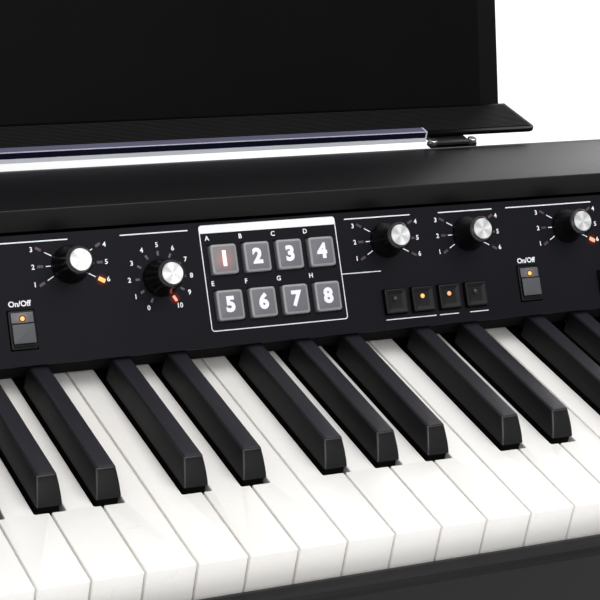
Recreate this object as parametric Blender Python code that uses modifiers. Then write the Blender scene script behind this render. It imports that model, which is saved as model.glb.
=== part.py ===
"""Stage piano with a 73-note weighted keyboard, a sloping control panel and a music desk.

Metres, +Z up. X runs along the keyboard with the treble to +X, the player sits at -Y, and the
feet stand on Z = 0. Every place on the control panel is given as x along the keyboard and v up the
slope from the panel's lower edge.
"""
import math

import bmesh
import bpy
from mathutils import Matrix, Vector

MM = 0.001
CLEAR = 0.3 * MM          # gap between pieces that seat on each other

# Keyboard
WHITE_COUNT = 43
LOWEST_LETTER = "E"
KEY_PITCH = 23.5 * MM
KEY_GAP = 0.9 * MM
KEY_LENGTH = 218 * MM
KEY_HEIGHT = 20 * MM
KEY_TOP = 82 * MM
HEAD_LENGTH = 50 * MM
KEY_EDGE = 0.9 * MM
KEY_DIP = 10 * MM
PIVOT_INSET = 5 * MM      # from the middle of the rail to the rear ends of the keys
RAIL_WIDTH = 6 * MM
BED_MARGIN = 6 * MM
BED_SLACK = 5 * MM        # air under a key pressed right down
FIXED_DROP = 0.9 * MM     # how far a key that is one with the bed reaches below the others
BLACK_RISE = 14 * MM
BLACK_WIDTH = 11.8 * MM
BLACK_TOP_WIDTH = 9.4 * MM
BLACK_SLOT = 14.2 * MM
BLACK_SET_BACK = 1.4 * MM
BLACK_RAKE = 9 * MM
BLACK_REAR = 148 * MM
BLACK_EDGE = 1.3 * MM
BLACK_SHOULDER = 2 * MM
# How far each black key's centre lies from the joint between the two white keys it stands over,
# by the letter of the white key on its right.
BLACK_OFFSET = {"D": -2.65 * MM, "E": 2.4 * MM, "G": -3.75 * MM, "A": 0.0, "B": 3.3 * MM}
LETTERS = "ABCDEFG"
PLAYED_FIRST = 19         # white keys of the octave whose keys each have their own pivot
PLAYED_COUNT = 7

# Case
CASE_DEPTH = 347 * MM
FRONT_MARGIN = 15.5 * MM  # from the case's front to the front of the white keys
CHEEK_WIDTH = 65.5 * MM
FOOT_HEIGHT = 8 * MM
FOOT_RADIUS = 15 * MM
FOOT_INSET = 45 * MM
BOTTOM_THICK = 4 * MM
SLIP_THICK = 12.5 * MM
SLIP_TOP = 68 * MM
SLIP_ROUND = 4 * MM
SHELL_THICK = 3 * MM
CHEEK_PROUD = 1.2 * MM
CHEEK_ARM_TOP = 91 * MM
CHEEK_ARM_ROUND = 14 * MM
CHEEK_EDGE = 6 * MM
CREST_CHAMFER = 1 * MM

# Control panel
PANEL_SET_BACK = 143.3 * MM  # from the front of the white keys to the panel's lower edge
PANEL_FOOT_Z = 98 * MM
PANEL_TILT = math.radians(53.84)
PANEL_RISE = 60.9 * MM
PANEL_THICK = 3 * MM
GROOVE = 1.4 * MM
FASCIA_RISE = 11.4 * MM
TOP_FALL = math.radians(1.0)
TOP_DEPTH = 40.6 * MM
TOP_ROUND = 15.6 * MM
BACK_FALL = math.radians(28)
REAR_ROUND = 12 * MM
RETURN_DEPTH = 9 * MM

# Controls on the panel
KNOB_RADIUS = 9.1 * MM
KNOB_TOP_RADIUS = 6.7 * MM
KNOB_CAP_RADIUS = 5.3 * MM
KNOB_RISE = 15.4 * MM
KNOB_FLOAT = 0.5 * MM     # air between the skirt and the panel
KNOB_CHAMFER = 0.5 * MM   # height of the cap's own edge
KNOB_NECK = 1.4 * MM      # from the cap's face down to the grip
KNOB_GRIP_FLARE = 0.5 * MM
KNOB_WAIST = 6 * MM       # where the skirt begins to flare
KNOB_HEM = (0.4 * MM, 1.6 * MM)
SHAFT_RADIUS = 3.0 * MM
SELECTOR_V = 45.4 * MM
DIAL_V = 35.6 * MM
SWITCH_SIZE = (12.8 * MM, 18.1 * MM)
SWITCH_V = 16.75 * MM
SQUARE_SIZE = (12.4 * MM, 12.4 * MM)
SQUARE_V = 13.8 * MM
SQUARE_PITCH = 15.8 * MM
SQUARE_FIRST_X = 111.0 * MM
PAD_SIZE = (14.1 * MM, 14.9 * MM)
PAD_PITCH = (17.8 * MM, 22.5 * MM)
PAD_FIRST = (19.6 * MM, 42.0 * MM)
BUTTON_RISE = 2.4 * MM
BUTTON_DEPTH = 2.8 * MM
BUTTON_TRAVEL = 1.5 * MM
BUTTON_SIDE = 0.4 * MM
BUTTON_EDGE = 0.8 * MM
SWITCH_ROOM = 0.7 * MM    # from a button pressed right in to the board
BOARD_THICK = 1.6 * MM
BOARD_V = (9 * MM, 57 * MM)
BOARD_LENGTH = 900 * MM
BOSS_RADIUS = 3 * MM
BOSS_X = [-440 * MM, -195 * MM, 1 * MM, 294 * MM, 440 * MM]
BOSS_V = 53 * MM

SELECTOR_X = {
    "prefx_type_knob": -174.6 * MM,
    "amp_type_knob": -58.7 * MM,
    "sound_knob": 111.3 * MM,
    "variation_knob": 159.7 * MM,
    "modulation_knob": 221.4 * MM,
    "reverb_knob": 339.5 * MM,
}
DIAL_X = {
    "volume_knob": -429.5 * MM,
    "eq_low_knob": -332.4 * MM,
    "eq_mid_knob": -288.8 * MM,
    "eq_high_knob": -245.2 * MM,
    "prefx_level_knob": -129.9 * MM,
    "drive_knob": -14.0 * MM,
    "modulation_speed_knob": 266.1 * MM,
    "reverb_depth_knob": 384.2 * MM,
}
SWITCH_X = {
    "eq_switch": -372.1 * MM,
    "prefx_switch": -201.7 * MM,
    "amp_switch": -85.7 * MM,
    "modulation_switch": 192.6 * MM,
    "reverb_switch": 310.8 * MM,
}
SPEED_BUTTON_X = 242.6 * MM

# Felt strip over the key tails
FELT_SET_BACK = 157 * MM
FELT_THICK = 2.5 * MM
FELT_LIFT = 1.5 * MM
FELT_SEAT = 4.5 * MM       # its width where it is glued to the back of the panel

# Music desk
DESK_HALF = 232.7 * MM
LEDGE_SET_BACK = 229.8 * MM
LEDGE_DEPTH = 34.9 * MM
LEDGE_THICK = 2.8 * MM
LEDGE_NOSE = 1.0 * MM
LEDGE_BORDER = (6 * MM, 4 * MM)  # plain strips in front of and behind the grooves
LEDGE_RIBS = 9
RIB_DEPTH = 0.5 * MM
PLATE_LEAN = math.radians(24)
PLATE_RISE = 199.4 * MM
PLATE_THICK = 2 * MM
PLATE_SEAT = 0.8 * MM
PLATE_WING = 15 * MM
WING_BACK = 5 * MM
STOP_INSET = 67.5 * MM
STOP_HEIGHT = 5.9 * MM
STOP_THICK = 3 * MM
STOP_LIP = 4 * MM
STOP_LIP_THICK = 1.2 * MM
BRACKET_INSET = 56 * MM  # from the desk's end to the middle of a bracket
BRACKET_WIDTH = 20 * MM
BRACKET_SET_BACK = 214 * MM
BRACKET_THICK = 2.5 * MM
BRACKET_EDGE = 0.6 * MM
BRACKET_SHORT = 4 * MM     # how far it ends before the ledge's rear edge

# Rear
SOCKET_X = (-300 * MM, 420 * MM)
SOCKET_LOW = 24 * MM
SOCKET_DROP = 15.4 * MM    # from the foot of the rear wall's rounding down to the window
SOCKET_MARGIN = 8 * MM
SOCKET_THICK = 2 * MM
POWER_X = 395 * MM
POWER_SIZE = (13 * MM, 21 * MM)
POWER_SWING = 14
POWER_DEPTH = 4 * MM
POWER_HEEL = 1.5 * MM
POWER_HORN = 2.8 * MM
POWER_DISH = 2 * MM
JACK_X = [-270 * MM, -235 * MM, -190 * MM, -155 * MM, -110 * MM, -75 * MM, -40 * MM, -5 * MM]
JACK_RADIUS = 6.5 * MM
JACK_RISE = 3 * MM
JACK_NUT_RADIUS = 8 * MM
JACK_NUT_RISE = 1.6 * MM

# Worked out from the sizes above
PIVOT_BACK = KEY_LENGTH - PIVOT_INSET
DESK_REACH = (LEDGE_SET_BACK + LEDGE_DEPTH + PLATE_SEAT + PLATE_RISE * math.sin(PLATE_LEAN)
              + (WING_BACK + PLATE_THICK) * math.cos(PLATE_LEAN))
REACH = max(DESK_REACH, CASE_DEPTH - FRONT_MARGIN)
KEY_FRONT = (FRONT_MARGIN - REACH) / 2
CASE_FRONT = KEY_FRONT - FRONT_MARGIN
CASE_REAR = CASE_FRONT + CASE_DEPTH
PANEL_FOOT_Y = KEY_FRONT + PANEL_SET_BACK
FELT_Y = KEY_FRONT + FELT_SET_BACK
LEDGE_FRONT = KEY_FRONT + LEDGE_SET_BACK
BRACKET_FRONT = KEY_FRONT + BRACKET_SET_BACK
BRACKET_X = DESK_HALF - BRACKET_INSET
STOP_HALF = DESK_HALF - STOP_INSET
BOARD_DEPTH = PANEL_THICK + BUTTON_DEPTH + BUTTON_TRAVEL + SWITCH_ROOM
BOARD_HALF = WHITE_COUNT * KEY_PITCH / 2
INNER_HALF = BOARD_HALF + CLEAR
CASE_FLOOR = FOOT_HEIGHT + BOTTOM_THICK
PANEL_UP = Vector((0, math.cos(PANEL_TILT), math.sin(PANEL_TILT)))
PANEL_OUT = Vector((0, -math.sin(PANEL_TILT), math.cos(PANEL_TILT)))
PANEL_FOOT = Vector((0, PANEL_FOOT_Y, PANEL_FOOT_Z))
PANEL_HEAD = PANEL_FOOT + PANEL_UP * PANEL_RISE
PIVOT_Y = KEY_FRONT + PIVOT_BACK
KEY_BOTTOM = KEY_TOP - KEY_HEIGHT


def fresh_scene():
    """Clear the scene and make the collections for the piano and for its cutters."""
    for item in list(bpy.data.objects):
        bpy.data.objects.remove(item, do_unlink=True)
    made = []
    for name in ("stage_piano", "cutters"):
        group = bpy.data.collections.new(name)
        bpy.context.scene.collection.children.link(group)
        made.append(group)
    return made


PIANO, CUTTERS = fresh_scene()


def finish(name, colour, roughness, metallic=0.0):
    """A plain Principled material."""
    material = bpy.data.materials.new(name)
    material.use_nodes = True
    shader = material.node_tree.nodes["Principled BSDF"]
    shader.inputs["Base Color"].default_value = (*colour, 1)
    shader.inputs["Roughness"].default_value = roughness
    shader.inputs["Metallic"].default_value = metallic
    return material


BLACK_CASE = finish("black_textured_case", (0.020, 0.019, 0.022), 0.5)
BLACK_PANEL = finish("black_painted_panel", (0.018, 0.018, 0.023), 0.45)
IVORY = finish("ivory_key_plastic", (0.86, 0.84, 0.80), 0.3)
EBONY = finish("black_key_plastic", (0.022, 0.020, 0.028), 0.55)
KNOB_BLACK = finish("black_knob_plastic", (0.012, 0.012, 0.013), 0.3)
PAD_GREY = finish("grey_button_plastic", (0.24, 0.24, 0.26), 0.35)
BUTTON_BLACK = finish("black_button_plastic", (0.015, 0.015, 0.016), 0.35)
DESK_BLACK = finish("black_desk_paint", (0.015, 0.014, 0.016), 0.5)
STEEL = finish("black_steel", (0.03, 0.03, 0.03), 0.4, 0.8)
BED_BLACK = finish("black_key_bed", (0.03, 0.03, 0.03), 0.6)
CLEAR_STRIP = finish("clear_acrylic", (0.75, 0.77, 0.85), 0.1)
FELT = finish("dark_red_felt", (0.09, 0.015, 0.018), 0.95)
BOARD_GREEN = finish("green_circuit_board", (0.02, 0.12, 0.05), 0.5)


def place(item, material=None, group=None):
    """Link an object to the piano or to another collection and give it its material."""
    (group or PIANO).objects.link(item)
    if material:
        item.data.materials.clear()
        item.data.materials.append(material)
    return item


def new_object(name, mesh_builder, material=None, group=None):
    """Make an object from a bmesh that mesh_builder fills."""
    mesh = bpy.data.meshes.new(name)
    bm = bmesh.new()
    mesh_builder(bm)
    bm.normal_update()
    bm.to_mesh(mesh)
    bm.free()
    return place(bpy.data.objects.new(name, mesh), material, group)


def box(name, low, high, material=None, group=None):
    """A box between two corners, its origin at its middle."""
    low = Vector(low)
    high = Vector(high)
    size = high - low

    def build(bm):
        bmesh.ops.create_cube(bm, size=1)
        bmesh.ops.scale(bm, vec=size, verts=bm.verts)

    item = new_object(name, build, material, group)
    item.location = (low + high) / 2
    return item


def rounded(item, width, segments=2, limit=30):
    """Round an object's edges that turn by more than the limit."""
    bevel = item.modifiers.new("rounded_edges", "BEVEL")
    bevel.width = width
    bevel.segments = segments
    bevel.limit_method = "ANGLE"
    bevel.angle_limit = math.radians(limit)
    return item


def outline_mesh(name, points, thickness):
    """The mesh of a flat outline, its thickness centred on its own plane."""
    curve = bpy.data.curves.new(name, "CURVE")
    curve.dimensions = "2D"
    curve.fill_mode = "BOTH"
    curve.extrude = thickness / 2
    spline = curve.splines.new("POLY")
    spline.points.add(len(points) - 1)
    for point, (u, v) in zip(spline.points, points):
        point.co = (u, v, 0, 1)
    spline.use_cyclic_u = True
    drawn = bpy.data.objects.new(name, curve)
    CUTTERS.objects.link(drawn)
    bpy.context.view_layer.update()
    mesh = bpy.data.meshes.new_from_object(drawn.evaluated_get(bpy.context.evaluated_depsgraph_get()))
    bpy.data.objects.remove(drawn, do_unlink=True)
    bpy.data.curves.remove(curve)
    bm = bmesh.new()
    bm.from_mesh(mesh)
    bmesh.ops.remove_doubles(bm, verts=bm.verts, dist=1e-6)
    bmesh.ops.dissolve_limit(bm, angle_limit=0.001, verts=bm.verts, edges=bm.edges)
    bmesh.ops.recalc_face_normals(bm, faces=bm.faces)
    bm.to_mesh(mesh)
    bm.free()
    mesh.name = name
    return mesh


def long_profile(name, points, x_low, x_high, material=None, group=None):
    """A Y-Z outline drawn out along X."""
    mesh = outline_mesh(name, points, x_high - x_low)
    item = place(bpy.data.objects.new(name, mesh), material, group)
    item.rotation_euler = (math.pi / 2, 0, math.pi / 2)
    item.location = ((x_low + x_high) / 2, 0, 0)
    return item


def level_outline(name, points, z_low, z_high, material=None, group=None):
    """An X-Y outline drawn up from z_low to z_high."""
    mesh = outline_mesh(name, points, z_high - z_low)
    item = place(bpy.data.objects.new(name, mesh), material, group)
    item.location = (0, 0, (z_low + z_high) / 2)
    return item


def cylinder(name, radius, height, material=None, group=None, sides=24):
    """A cylinder standing on its own origin."""
    def build(bm):
        bmesh.ops.create_cone(bm, cap_ends=True, segments=sides, radius1=radius, radius2=radius,
                              depth=height, matrix=Matrix.Translation((0, 0, height / 2)))

    return new_object(name, build, material, group)


def combine(item, others, operation):
    """Join others to an object, or cut them from it, and keep them as cutters."""
    for other in others:
        for group in list(other.users_collection):
            group.objects.unlink(other)
        CUTTERS.objects.link(other)
        other.hide_render = True
        other.display_type = "WIRE"
        boolean = item.modifiers.new(other.name, "BOOLEAN")
        boolean.operation = operation
        boolean.object = other
    return item


def joined_mesh(name, items):
    """One object whose mesh holds the meshes of many, which are removed."""
    bpy.context.view_layer.update()
    bm = bmesh.new()
    for item in items:
        mesh = item.data.copy()
        mesh.transform(item.matrix_world)
        bm.from_mesh(mesh)
        bpy.data.meshes.remove(mesh)
    mesh = bpy.data.meshes.new(name)
    bm.to_mesh(mesh)
    bm.free()
    for item in items:
        bpy.data.objects.remove(item)
    return place(bpy.data.objects.new(name, mesh), None, CUTTERS)


def arc(centre, radius, start, end, steps):
    """Points along an arc, its angles in radians."""
    points = []
    for step in range(steps + 1):
        angle = start + (end - start) * step / steps
        points.append((centre[0] + radius * math.cos(angle), centre[1] + radius * math.sin(angle)))
    return points


def panel_point(x, v, out=0.0):
    """A point on the control panel, out being its height above the surface."""
    return PANEL_FOOT + PANEL_UP * v + PANEL_OUT * out + Vector((x, 0, 0))


def on_panel(item, x, v, out=0.0):
    """Stand an object on the panel with its own Z along the panel's normal."""
    item.rotation_euler = (PANEL_TILT, 0, 0)
    item.location = panel_point(x, v, out)
    return item


# Keyboard

def letter_of(index):
    """The note letter of a white key counted from the lowest."""
    return LETTERS[(LETTERS.index(LOWEST_LETTER) + index) % len(LETTERS)]


def joint_x(index):
    """Where the joint to the left of a white key lies."""
    return (index - WHITE_COUNT / 2) * KEY_PITCH


def black_at(index):
    """The centre of the black key over a joint, or None where there is none."""
    if index <= 0 or index >= WHITE_COUNT or letter_of(index) not in BLACK_OFFSET:
        return None
    return joint_x(index) + BLACK_OFFSET[letter_of(index)]


def white_key(name, index, bottom):
    """A white key: a wide head and a tail narrowed where the black keys stand."""
    left = joint_x(index) + KEY_GAP / 2
    right = joint_x(index + 1) - KEY_GAP / 2
    tail_left = left
    tail_right = right
    if black_at(index) is not None:
        tail_left = black_at(index) + BLACK_SLOT / 2
    if black_at(index + 1) is not None:
        tail_right = black_at(index + 1) - BLACK_SLOT / 2
    shoulder = KEY_FRONT + HEAD_LENGTH
    end = KEY_FRONT + KEY_LENGTH
    points = [(left, KEY_FRONT), (right, KEY_FRONT), (right, shoulder)]
    if tail_right < right:
        points.append((tail_right, shoulder))
    points += [(tail_right, end), (tail_left, end)]
    if tail_left > left:
        points.append((tail_left, shoulder))
    points.append((left, shoulder))
    item = level_outline(name, points, bottom, KEY_TOP, IVORY)
    round_top(item, KEY_EDGE, 2)
    return item


def round_top(item, width, segments):
    """Round the edges of an object's highest face."""
    mesh = item.data
    bm = bmesh.new()
    bm.from_mesh(mesh)
    high = max(vert.co.z for vert in bm.verts)
    edges = [edge for edge in bm.edges if all(high - vert.co.z < 1e-6 for vert in edge.verts)
             and edge.calc_face_angle(0) > 0.5]
    bmesh.ops.bevel(bm, geom=edges, offset=width, segments=segments, profile=0.5, affect="EDGES",
                    clamp_overlap=True)
    bmesh.ops.recalc_face_normals(bm, faces=bm.faces)
    bm.to_mesh(mesh)
    bm.free()


def black_key(name, index, bottom):
    """A black key: a raised tapered finger on a lower body that runs back to the pivot."""
    front = KEY_FRONT + HEAD_LENGTH + BLACK_SET_BACK
    rear = KEY_FRONT + BLACK_REAR
    end = KEY_FRONT + KEY_LENGTH
    shoulder = KEY_TOP - BLACK_SHOULDER
    top = KEY_TOP + BLACK_RISE
    points = [(front, bottom), (end, bottom), (end, shoulder), (rear + BLACK_EDGE, shoulder),
              (rear, top), (front + BLACK_RAKE, top), (front, shoulder)]
    centre = black_at(index)
    item = long_profile(name, points, -BLACK_WIDTH / 2, BLACK_WIDTH / 2, EBONY)
    item.location.x = centre
    mesh = item.data
    bm = bmesh.new()
    bm.from_mesh(mesh)
    bmesh.ops.bisect_plane(bm, geom=bm.verts[:] + bm.edges[:] + bm.faces[:],
                           plane_co=(0, shoulder, 0), plane_no=(0, 1, 0), dist=1e-7)
    for vert in bm.verts:
        if vert.co.y > top - 1e-6:
            vert.co.z *= BLACK_TOP_WIDTH / BLACK_WIDTH
    edges = [edge for edge in bm.edges if all(vert.co.y > top - 1e-6 for vert in edge.verts)
             and edge.calc_face_angle(0) > 0.5]
    bmesh.ops.bevel(bm, geom=edges, offset=BLACK_EDGE, segments=2, profile=0.5, affect="EDGES",
                    clamp_overlap=True)
    bmesh.ops.recalc_face_normals(bm, faces=bm.faces)
    bm.to_mesh(mesh)
    bm.free()
    return item


def keyboard():
    """The octave of pivoted keys, and the key bed with the remaining keys in one piece."""
    played = range(PLAYED_FIRST, PLAYED_FIRST + PLAYED_COUNT)
    fixed_bottom = KEY_BOTTOM - FIXED_DROP
    fixed = []
    for index in range(WHITE_COUNT):
        own = index in played
        name = "key_" + letter_of(index).lower() if own else f"fixed_white_{index:02d}"
        item = white_key(name, index, KEY_BOTTOM if own else fixed_bottom)
        if not own:
            fixed.append(item)
        if black_at(index) is None:
            continue
        own = own and index > PLAYED_FIRST
        name = f"key_{letter_of(index - 1).lower()}_sharp" if own else f"fixed_black_{index:02d}"
        item = black_key(name, index, KEY_BOTTOM if own else fixed_bottom)
        if not own:
            fixed.append(item)
    rail_low = PIVOT_Y - RAIL_WIDTH / 2
    rail_high = PIVOT_Y + RAIL_WIDTH / 2
    floor = CASE_FLOOR + CLEAR
    stop_front = KEY_FRONT + BED_MARGIN
    stop_top = KEY_BOTTOM - KEY_DIP - BED_SLACK
    points = [(stop_front, floor), (rail_high, floor), (rail_high, KEY_BOTTOM - CLEAR),
              (rail_low, KEY_BOTTOM - CLEAR), (rail_low, KEY_BOTTOM - BED_SLACK),
              (stop_front, stop_top)]
    bed = long_profile("key_bed", points, -BOARD_HALF, BOARD_HALF, BED_BLACK)
    rest = joined_mesh("fixed_keys", fixed)
    combine(bed, [rest], "UNION")
    return bed


# Case

def rear_wall_top(slope_start):
    """The height at which the rear wall starts to round over into the slope from a point."""
    y, z = slope_start
    slope_end = CASE_REAR - REAR_ROUND * (1 - math.sin(BACK_FALL))
    return z - (slope_end - y) * math.tan(BACK_FALL) - REAR_ROUND * math.cos(BACK_FALL)


def top_outline():
    """The top cover's outer line from the return under the fascia to the foot of the rear wall."""
    crest = Vector((PANEL_HEAD.y, PANEL_HEAD.z + GROOVE + FASCIA_RISE))
    low = PANEL_HEAD.z + GROOVE
    points = [(crest.x + RETURN_DEPTH, low), (crest.x, low)]
    points.append((crest.x, crest.y - CREST_CHAMFER))
    points.append((crest.x + CREST_CHAMFER, crest.y))
    brow = Vector((crest.x + TOP_DEPTH, crest.y - math.tan(TOP_FALL) * TOP_DEPTH))
    centre = brow - Vector((math.sin(TOP_FALL), math.cos(TOP_FALL))) * TOP_ROUND
    points += arc(centre, TOP_ROUND, math.pi / 2 - TOP_FALL, math.pi / 2 - BACK_FALL, 5)
    rear_centre = (CASE_REAR - REAR_ROUND, rear_wall_top(points[-1]))
    points += arc(rear_centre, REAR_ROUND, math.pi / 2 - BACK_FALL, 0, 5)
    points.append((CASE_REAR, CASE_FLOOR + CLEAR))
    return points


def inset_line(points, depth):
    """An open line moved to its right by a depth, its corners mitred."""
    moved = []
    for place_index, point in enumerate(points):
        here = Vector(point)
        before = here - Vector(points[place_index - 1]) if place_index else None
        after = Vector(points[place_index + 1]) - here if place_index < len(points) - 1 else None
        normals = [Vector((step.y, -step.x)).normalized() for step in (before, after) if step]
        mitre = sum(normals, Vector((0, 0))).normalized()
        moved.append(here + mitre * depth / mitre.dot(normals[0]))
    return [tuple(point) for point in moved]


def top_cover():
    """The bent shell over the electronics, with a window for the socket panel in its rear wall."""
    outer = top_outline()
    inner = inset_line(outer, SHELL_THICK)
    shell = long_profile("top_cover", outer + inner[::-1], -BOARD_HALF, BOARD_HALF, BLACK_CASE)
    window = box("socket_window", (SOCKET_X[0], CASE_REAR - 2 * SHELL_THICK, SOCKET_LOW),
                 (SOCKET_X[1], CASE_REAR + SHELL_THICK, socket_top()), None, CUTTERS)
    return combine(shell, [window], "DIFFERENCE")


def cheek_outline():
    """The side outline of an end cheek."""
    slope = [tuple(Vector(point)) for point in top_outline()[2:]]
    proud = []
    for y, z in slope[:-1]:
        proud.append((y, z + CHEEK_PROUD))
    rear = [(CASE_REAR, CASE_FLOOR + CLEAR)]
    base = CASE_FLOOR + CLEAR
    arm_low = (CASE_FRONT + CHEEK_ARM_ROUND, CHEEK_ARM_TOP - CHEEK_ARM_ROUND)
    front = arc(arm_low, CHEEK_ARM_ROUND, math.pi, math.pi / 2, 5)
    heel = PANEL_FOOT + PANEL_OUT * CHEEK_PROUD
    heel_y = heel.y - (heel.z - CHEEK_ARM_TOP) / math.tan(PANEL_TILT)
    return [(CASE_FRONT, base)] + front + [(heel_y, CHEEK_ARM_TOP)] + proud + rear


def cheeks():
    """The two moulded end cheeks."""
    for name, side in (("cheek_left", -1), ("cheek_right", 1)):
        inner = side * (INNER_HALF + CLEAR)
        outer = side * (INNER_HALF + CLEAR + CHEEK_WIDTH)
        item = long_profile(name, cheek_outline(), min(inner, outer), max(inner, outer), BLACK_CASE)
        mesh = item.data
        bm = bmesh.new()
        bm.from_mesh(mesh)
        far = side * CHEEK_WIDTH / 2
        edges = [edge for edge in bm.edges if all(abs(vert.co.z - far) < 1e-6 for vert in edge.verts)]
        bmesh.ops.bevel(bm, geom=edges, offset=CHEEK_EDGE, segments=3, profile=0.5, affect="EDGES",
                        clamp_overlap=True)
        bmesh.ops.recalc_face_normals(bm, faces=bm.faces)
        bm.to_mesh(mesh)
        bm.free()


def case():
    """The bottom plate on its feet, the key slip and the felt strip."""
    half = INNER_HALF + CLEAR + CHEEK_WIDTH
    overlap = BOTTOM_THICK / 4
    bottom = box("bottom_plate", (-half, CASE_FRONT, FOOT_HEIGHT), (half, CASE_REAR, CASE_FLOOR),
                 BLACK_CASE)
    feet = []
    for x in (-half + FOOT_INSET, half - FOOT_INSET):
        for y in (CASE_FRONT + FOOT_INSET, CASE_REAR - FOOT_INSET):
            foot = cylinder(f"foot_{len(feet)}", FOOT_RADIUS, FOOT_HEIGHT + overlap, None, CUTTERS)
            foot.location = (x, y, 0)
            feet.append(foot)
    combine(bottom, feet, "UNION")
    slip = box("key_slip", (-BOARD_HALF, CASE_FRONT, CASE_FLOOR + CLEAR),
               (BOARD_HALF, CASE_FRONT + SLIP_THICK, SLIP_TOP), BLACK_CASE)
    rounded(slip, SLIP_ROUND, 3)
    lowest_v = min(v - size[1] / 2 for _, _, v, size, _ in button_places()) - BUTTON_SIDE - CLEAR
    felt_low = KEY_TOP + FELT_LIFT
    felt = [(FELT_Y, felt_low), (FELT_Y + FELT_THICK, felt_low)]
    for v in (lowest_v, lowest_v - FELT_SEAT):
        felt.append(panel_point(0, v, -PANEL_THICK - CLEAR)[1:])
    long_profile("felt_strip", felt, -BOARD_HALF, BOARD_HALF, FELT)


# Control panel

def panel_hole(name, x, v, size):
    """A cutter for a rectangular hole through the panel."""
    cutter = box(name, (-size[0] / 2, -size[1] / 2, -3 * PANEL_THICK),
                 (size[0] / 2, size[1] / 2, 3 * PANEL_THICK), None, CUTTERS)
    return on_panel(cutter, x, v)


def button_places():
    """Every button: its name, place and cap size."""
    places = []
    for number in range(8):
        x = PAD_FIRST[0] + (number % 4) * PAD_PITCH[0]
        v = PAD_FIRST[1] - (number // 4) * PAD_PITCH[1]
        places.append((f"favourite_button_{number + 1}", x, v, PAD_SIZE, PAD_GREY))
    for number in range(4):
        x = SQUARE_FIRST_X + number * SQUARE_PITCH
        places.append((f"square_button_{number + 1}", x, SQUARE_V, SQUARE_SIZE, BUTTON_BLACK))
    places.append(("speed_button", SPEED_BUTTON_X, SQUARE_V, SQUARE_SIZE, BUTTON_BLACK))
    for name, x in SWITCH_X.items():
        places.append((name, x, SWITCH_V, SWITCH_SIZE, BUTTON_BLACK))
    return places


def control_panel():
    """The painted panel with a hole for each control and bosses for its circuit board."""
    middle = panel_point(0, PANEL_RISE / 2, -PANEL_THICK / 2)
    panel = box("control_panel", (-BOARD_HALF, -PANEL_RISE / 2, -PANEL_THICK / 2),
                (BOARD_HALF, PANEL_RISE / 2, PANEL_THICK / 2), BLACK_PANEL)
    panel.rotation_euler = (PANEL_TILT, 0, 0)
    panel.location = middle
    cutters = []
    for name, x, v, size, _ in button_places():
        hole = (size[0] + 2 * BUTTON_SIDE, size[1] + 2 * BUTTON_SIDE)
        cutters.append(panel_hole("hole_" + name, x, v, hole))
    for places, v in ((SELECTOR_X, SELECTOR_V), (DIAL_X, DIAL_V)):
        for name, x in places.items():
            hole = cylinder("hole_" + name, SHAFT_RADIUS + BUTTON_SIDE, 6 * PANEL_THICK, None,
                            CUTTERS, 16)
            cutters.append(on_panel(hole, x, v, -3 * PANEL_THICK))
    holes = joined_mesh("panel_holes", cutters)
    bosses = []
    for number, x in enumerate(BOSS_X):
        boss = cylinder(f"boss_{number}", BOSS_RADIUS, BOARD_DEPTH - CLEAR - PANEL_THICK / 2, None,
                        CUTTERS, 12)
        bosses.append(on_panel(boss, x, BOSS_V, -BOARD_DEPTH + CLEAR))
    posts = joined_mesh("panel_bosses", bosses)
    combine(panel, [holes], "DIFFERENCE")
    return combine(panel, [posts], "UNION")


def panel_board():
    """The circuit board behind the panel that carries the switches and lamps."""
    size = (BOARD_LENGTH, BOARD_V[1] - BOARD_V[0], BOARD_THICK)
    board = box("panel_board", [-side / 2 for side in size], [side / 2 for side in size],
                BOARD_GREEN)
    return on_panel(board, 0, sum(BOARD_V) / 2, -BOARD_DEPTH - BOARD_THICK / 2)


def knob(name, x, v):
    """A turned knob: a flared skirt, a tapered grip, an end cap and the shaft behind it."""
    profile = [
        (0, KNOB_RISE),
        (KNOB_CAP_RADIUS, KNOB_RISE),
        (KNOB_CAP_RADIUS, KNOB_RISE - KNOB_CHAMFER),
        (KNOB_TOP_RADIUS, KNOB_RISE - KNOB_NECK),
        (KNOB_TOP_RADIUS + KNOB_GRIP_FLARE, KNOB_WAIST),
        (KNOB_RADIUS - KNOB_HEM[0], KNOB_HEM[1]),
        (KNOB_RADIUS, KNOB_FLOAT),
        (SHAFT_RADIUS, KNOB_FLOAT),
        (SHAFT_RADIUS, -BOARD_DEPTH + CLEAR),
        (0, -BOARD_DEPTH + CLEAR),
    ]

    def build(bm):
        verts = [bm.verts.new((radius, 0, height)) for radius, height in profile]
        for first, second in zip(verts, verts[1:]):
            bm.edges.new((first, second))

    item = new_object(name, build, KNOB_BLACK)
    turn = item.modifiers.new("turned", "SCREW")
    turn.angle = 2 * math.pi
    turn.steps = 20
    turn.render_steps = 20
    turn.use_merge_vertices = True
    turn.merge_threshold = 0.00005
    return on_panel(item, x, v)


def button(name, x, v, size, material):
    """A push button whose body slides in its hole in the panel."""
    item = box(name, (-size[0] / 2, -size[1] / 2, -PANEL_THICK - BUTTON_DEPTH),
               (size[0] / 2, size[1] / 2, BUTTON_RISE), material)
    middle = (BUTTON_RISE - PANEL_THICK - BUTTON_DEPTH) / 2
    on_panel(item, x, v, middle)
    mesh = item.data
    bm = bmesh.new()
    bm.from_mesh(mesh)
    high = max(vert.co.z for vert in bm.verts)
    edges = [edge for edge in bm.edges if all(high - vert.co.z < 1e-6 for vert in edge.verts)]
    bmesh.ops.bevel(bm, geom=edges, offset=BUTTON_EDGE, segments=2, profile=0.5, affect="EDGES",
                    clamp_overlap=True)
    bm.to_mesh(mesh)
    bm.free()
    return item


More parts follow.
